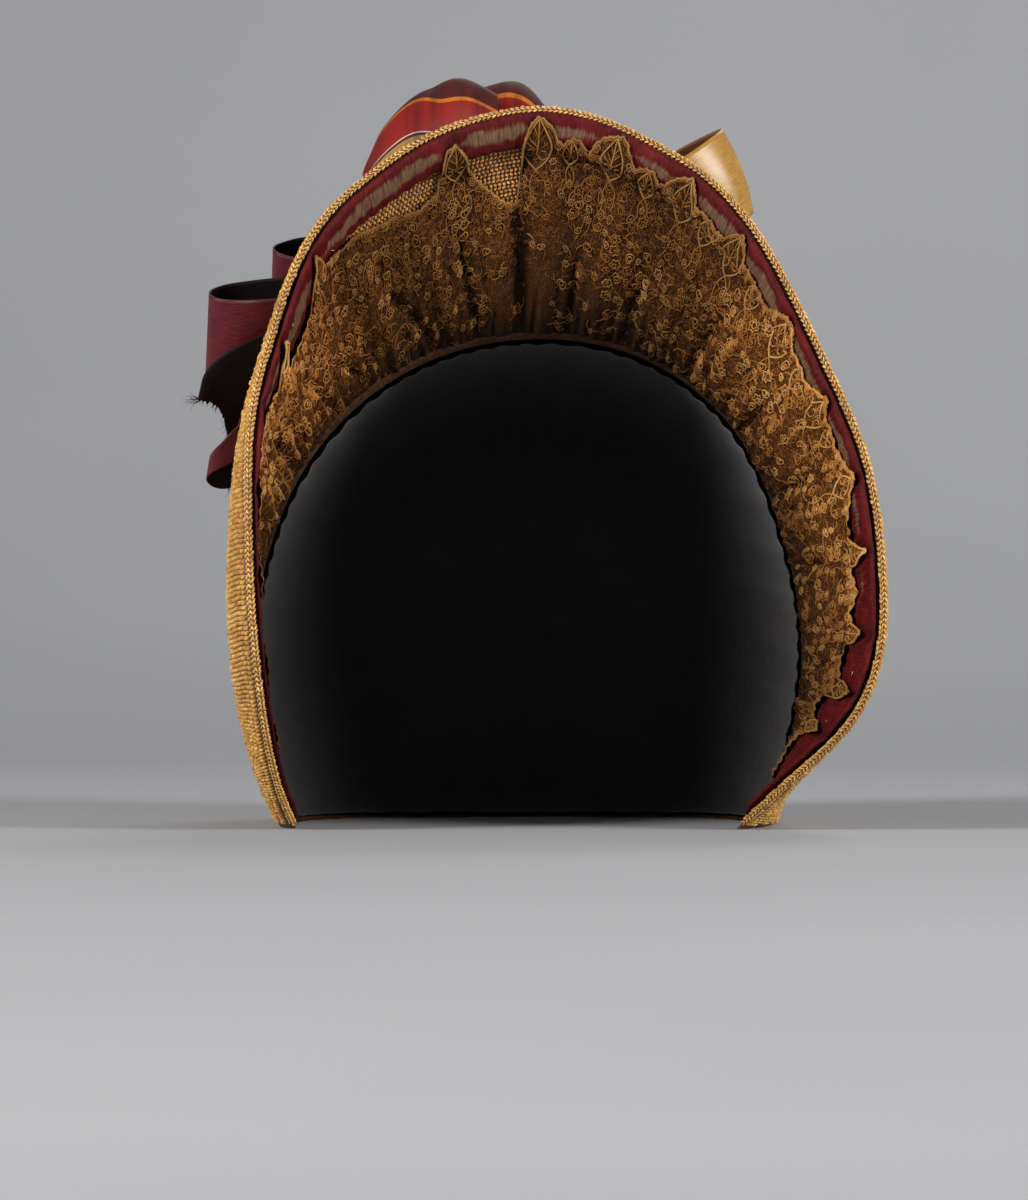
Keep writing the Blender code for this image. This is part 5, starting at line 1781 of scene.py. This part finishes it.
FOLDS_LEFT = (
    # place along, across, height (mm), width along, across, slant
    (0.30, 0.30, 0.5, 0.14, 0.25, 0.5),
    (0.62, 0.35, -0.5, 0.09, 0.25, -0.8),
    (0.78, 0.40, 0.5, 0.10, 0.25, -0.6),
    (0.15, 0.40, -0.3, 0.07, 0.30, 0.6),
)
FOLDS_RIGHT = (
    (0.35, 0.40, -0.4, 0.09, 0.25, 0.9),
    (0.55, 0.40, 0.5, 0.10, 0.25, 0.9),
    (0.78, 0.40, -0.4, 0.09, 0.25, 0.5),
)
n, m = 64, 64
w = np.linspace(0, 1, m)[None, :]
s = np.linspace(0, 1, n)[:, None]
left = clear_of_straw(wrinkled(puff(PUFF_LEFT, n, m, 1), FOLDS_LEFT), STRAW / 2 + 1.0)
right = clear_of_straw(wrinkled(puff(PUFF_RIGHT, n, m, 2), FOLDS_RIGHT), STRAW / 2 + 1.0)
tone_left = np.clip(w + 0.0 * s, 0, 1)
tone_right = np.clip(w - 0.058 + 0.03 * (s - 0.5), 0, 1)
ribbon("striped_loop_left", left, 0.5, "stripes", "striped_puff_left", tone=tone_left)
ribbon("striped_loop_right", right, 0.5, "stripes", "striped_puff_right", tone=tone_right)


# ---------------------------------------------------------------- loose threads and stitches
def hairs(name, starts, ways, long, radius, mat, seed, sides=4, steps=9, curl=0.5):
    """Thin curved threads."""
    r = np.random.default_rng(seed)
    k = len(starts)
    t = np.linspace(0, 1, steps)[None, :, None]
    bend = r.normal(0, 1, (k, 1, 3)) * curl
    line = starts[:, None] + ways[:, None] * long[:, None, None] * t
    line = line + bend * (t**2) * long[:, None, None] * 0.5
    line = line + r.normal(0, 0.35, (k, 1, 3)) * np.sin(t * np.pi * 1.5) * long[:, None, None] * 0.15
    tan = unit(np.gradient(line, axis=1))
    ref = unit(np.cross(tan, np.array([0.3, 0.2, 0.9])))
    bi = np.cross(tan, ref)
    th = np.linspace(0, 2 * np.pi, sides, endpoint=False)
    rr = radius * (1 - 0.6 * t[..., None])
    v = line[:, :, None] + rr * (ref[:, :, None] * np.cos(th)[:, None] + bi[:, :, None] * np.sin(th)[:, None])
    i, j = np.meshgrid(np.arange(steps - 1), np.arange(sides), indexing="ij")
    jj = (j + 1) % sides
    f = np.stack([i * sides + j, i * sides + jj, (i + 1) * sides + jj, (i + 1) * sides + j], -1).reshape(-1, 4)
    f = (f[None] + (np.arange(k) * steps * sides)[:, None, None]).reshape(-1, 4)
    uv = np.stack(
        np.broadcast_arrays(
            (np.arange(k)[:, None, None] + 0.15 + 0.6 * t[..., 0][:, :, None]) / k, (0.05 + 0.9 * th / 6.3)[None, None, :]
        ),
        -1,
    )
    ob = make(name, v.reshape(-1, 3), [f], mat, uv=uv.reshape(-1, 2))
    return ob


r6 = np.random.default_rng(31)
k = 26
pick = r6.integers(0, 9, k)
starts = np.concatenate([tail_end[r6.integers(0, 30, 34)], tail_end[-3:][r6.integers(0, 3, 18)]])
ways = unit(np.concatenate([tail_dir[r6.integers(0, 30, 34)], np.tile([[-0.95, -0.1, 0.12]], (18, 1))]) + r6.normal(0, 0.22, (52, 3)))
long = np.concatenate([r6.uniform(0.5, 1.8, 34), r6.uniform(2.0, 4.6, 18)])
ob = hairs("wine_fray_dark", starts, ways, long, 0.075, "wine_thread", 3)
starts = np.concatenate([fold_end[r6.integers(0, 22, 30)], fold_end[:4][r6.integers(0, 4, 8)]])
ways = unit(fold_dir[r6.integers(0, 22, 38)] * 0.3 + np.array([-0.25, -0.1, -0.9]) + r6.normal(0, 0.3, (38, 3)))
long = np.concatenate([r6.uniform(0.6, 2.0, 30), r6.uniform(2.0, 3.8, 8)])
ob = hairs("wine_fray_folded", starts, ways, long, 0.075, "wine_thread", 4)

def roll_top(un, nn):
    """Height of the roll's face over the brim's middle."""
    part = np.clip((nn - ROLL_START) / (read(FINE_ROLL, un) - ROLL_START), 0, 1)
    return STRAW / 2 + GAP + ROLL_HIGH * (0.5 + 0.5 * (1 - (2 * part - 1) ** 2) ** 0.36) + 0.12


st, wy, ln = [], [], []
for u0, n0, long_, deg in WHITE_STITCHES:
    u1 = np.array([u0])
    x, y = long_ * np.cos(np.radians(deg)), long_ * np.sin(np.radians(deg))
    bu, bn = local(u1, np.array([n0]), x, y)
    off = lambda un, nn: -roll_top(un, np.array(nn))
    p0 = brim(u1, np.array([n0]), off(u1, [n0]))
    p1 = brim(bu, bn, off(bu, bn))
    st.append(p0[0])
    wy.append((p1 - p0)[0] / long_)
    ln.append(long_)
ob = hairs("white_stitches", np.array(st), unit(np.array(wy)), np.array(ln), 0.13, "white", 5, curl=0.1)

# ---------------------------------------------------------------- stage, camera, light
def stage_floor():
    prof = [(-2.2, 0.0), (0.9, 0.0)]
    for k in range(1, 13):
        t = k / 12 * np.pi / 2
        prof.append((0.9 + 0.9 * np.sin(t), 0.9 - 0.9 * np.cos(t)))
    prof.append((1.8, 3.2))
    v = np.array([[(x, y, z) for x in (-2.6, 2.6)] for y, z in prof])
    me = bpy.data.meshes.new("floor")
    f = quads(len(prof), 2)
    me.from_pydata([tuple(q) for q in v.reshape(-1, 3)], [], [tuple(int(i) for i in q) for q in f])
    me.polygons.foreach_set("use_smooth", [True] * len(me.polygons))
    m = Mat("floor_paper")
    c = m.ramp(m.noise(m.place(), 3.0, 2.0), (0.3, srgb(156, 157, 160)), (0.7, srgb(162, 163, 166)))
    m.set(Base_Color=c, Roughness=0.9)
    me.materials.append(m.m)
    ob = bpy.data.objects.new("floor", me)
    bpy.context.scene.collection.objects.link(ob)
    ob.location.z = -0.0002


stage_floor()
scene = bpy.context.scene
scene.view_settings.view_transform = "Standard"
scene.view_settings.look = "None"
cam_data = bpy.data.cameras.new("camera")
cam_data.lens = 36 * 1900 / (1200 * 0.281)
cam_data.sensor_width = 36
cam_data.clip_start, cam_data.clip_end = 0.05, 20
cam = bpy.data.objects.new("camera", cam_data)
cam.location = ((-3.9 + SHIFT[0]) * MM, (-1900 + SHIFT[1]) * MM, 63.3 * MM)
cam.rotation_euler = (np.pi / 2, 0, 0)
scene.collection.objects.link(cam)
scene.camera = cam


def area_light(name, place, aim, size, power, colour=(1, 1, 1)):
    d = bpy.data.lights.new(name, "AREA")
    d.shape, d.size, d.energy, d.color = "DISK", size, power, colour
    ob = bpy.data.objects.new(name, d)
    ob.location = place
    ob.rotation_euler = (Vector(aim) - Vector(place)).to_track_quat("-Z", "Y").to_euler()
    scene.collection.objects.link(ob)


area_light("key", (-1.5, -1.35, 0.85), (0, 0, 0.1), 0.7, 48, (1.0, 0.985, 0.96))
area_light("fill", (1.65, -1.3, 0.7), (0, 0, 0.1), 0.8, 46, (1.0, 0.985, 0.965))
area_light("front", (0.0, -2.2, 0.9), (0, 0, 0.1), 0.6, 2)
area_light("back", (0.6, 1.2, 1.5), (0, 0, 0.12), 1.0, 9)
world = bpy.data.worlds.new("studio")
world.use_nodes = True
world.node_tree.nodes["Background"].inputs[0].default_value = (0.80, 0.82, 0.85, 1)
world.node_tree.nodes["Background"].inputs[1].default_value = 0.15
scene.world = world
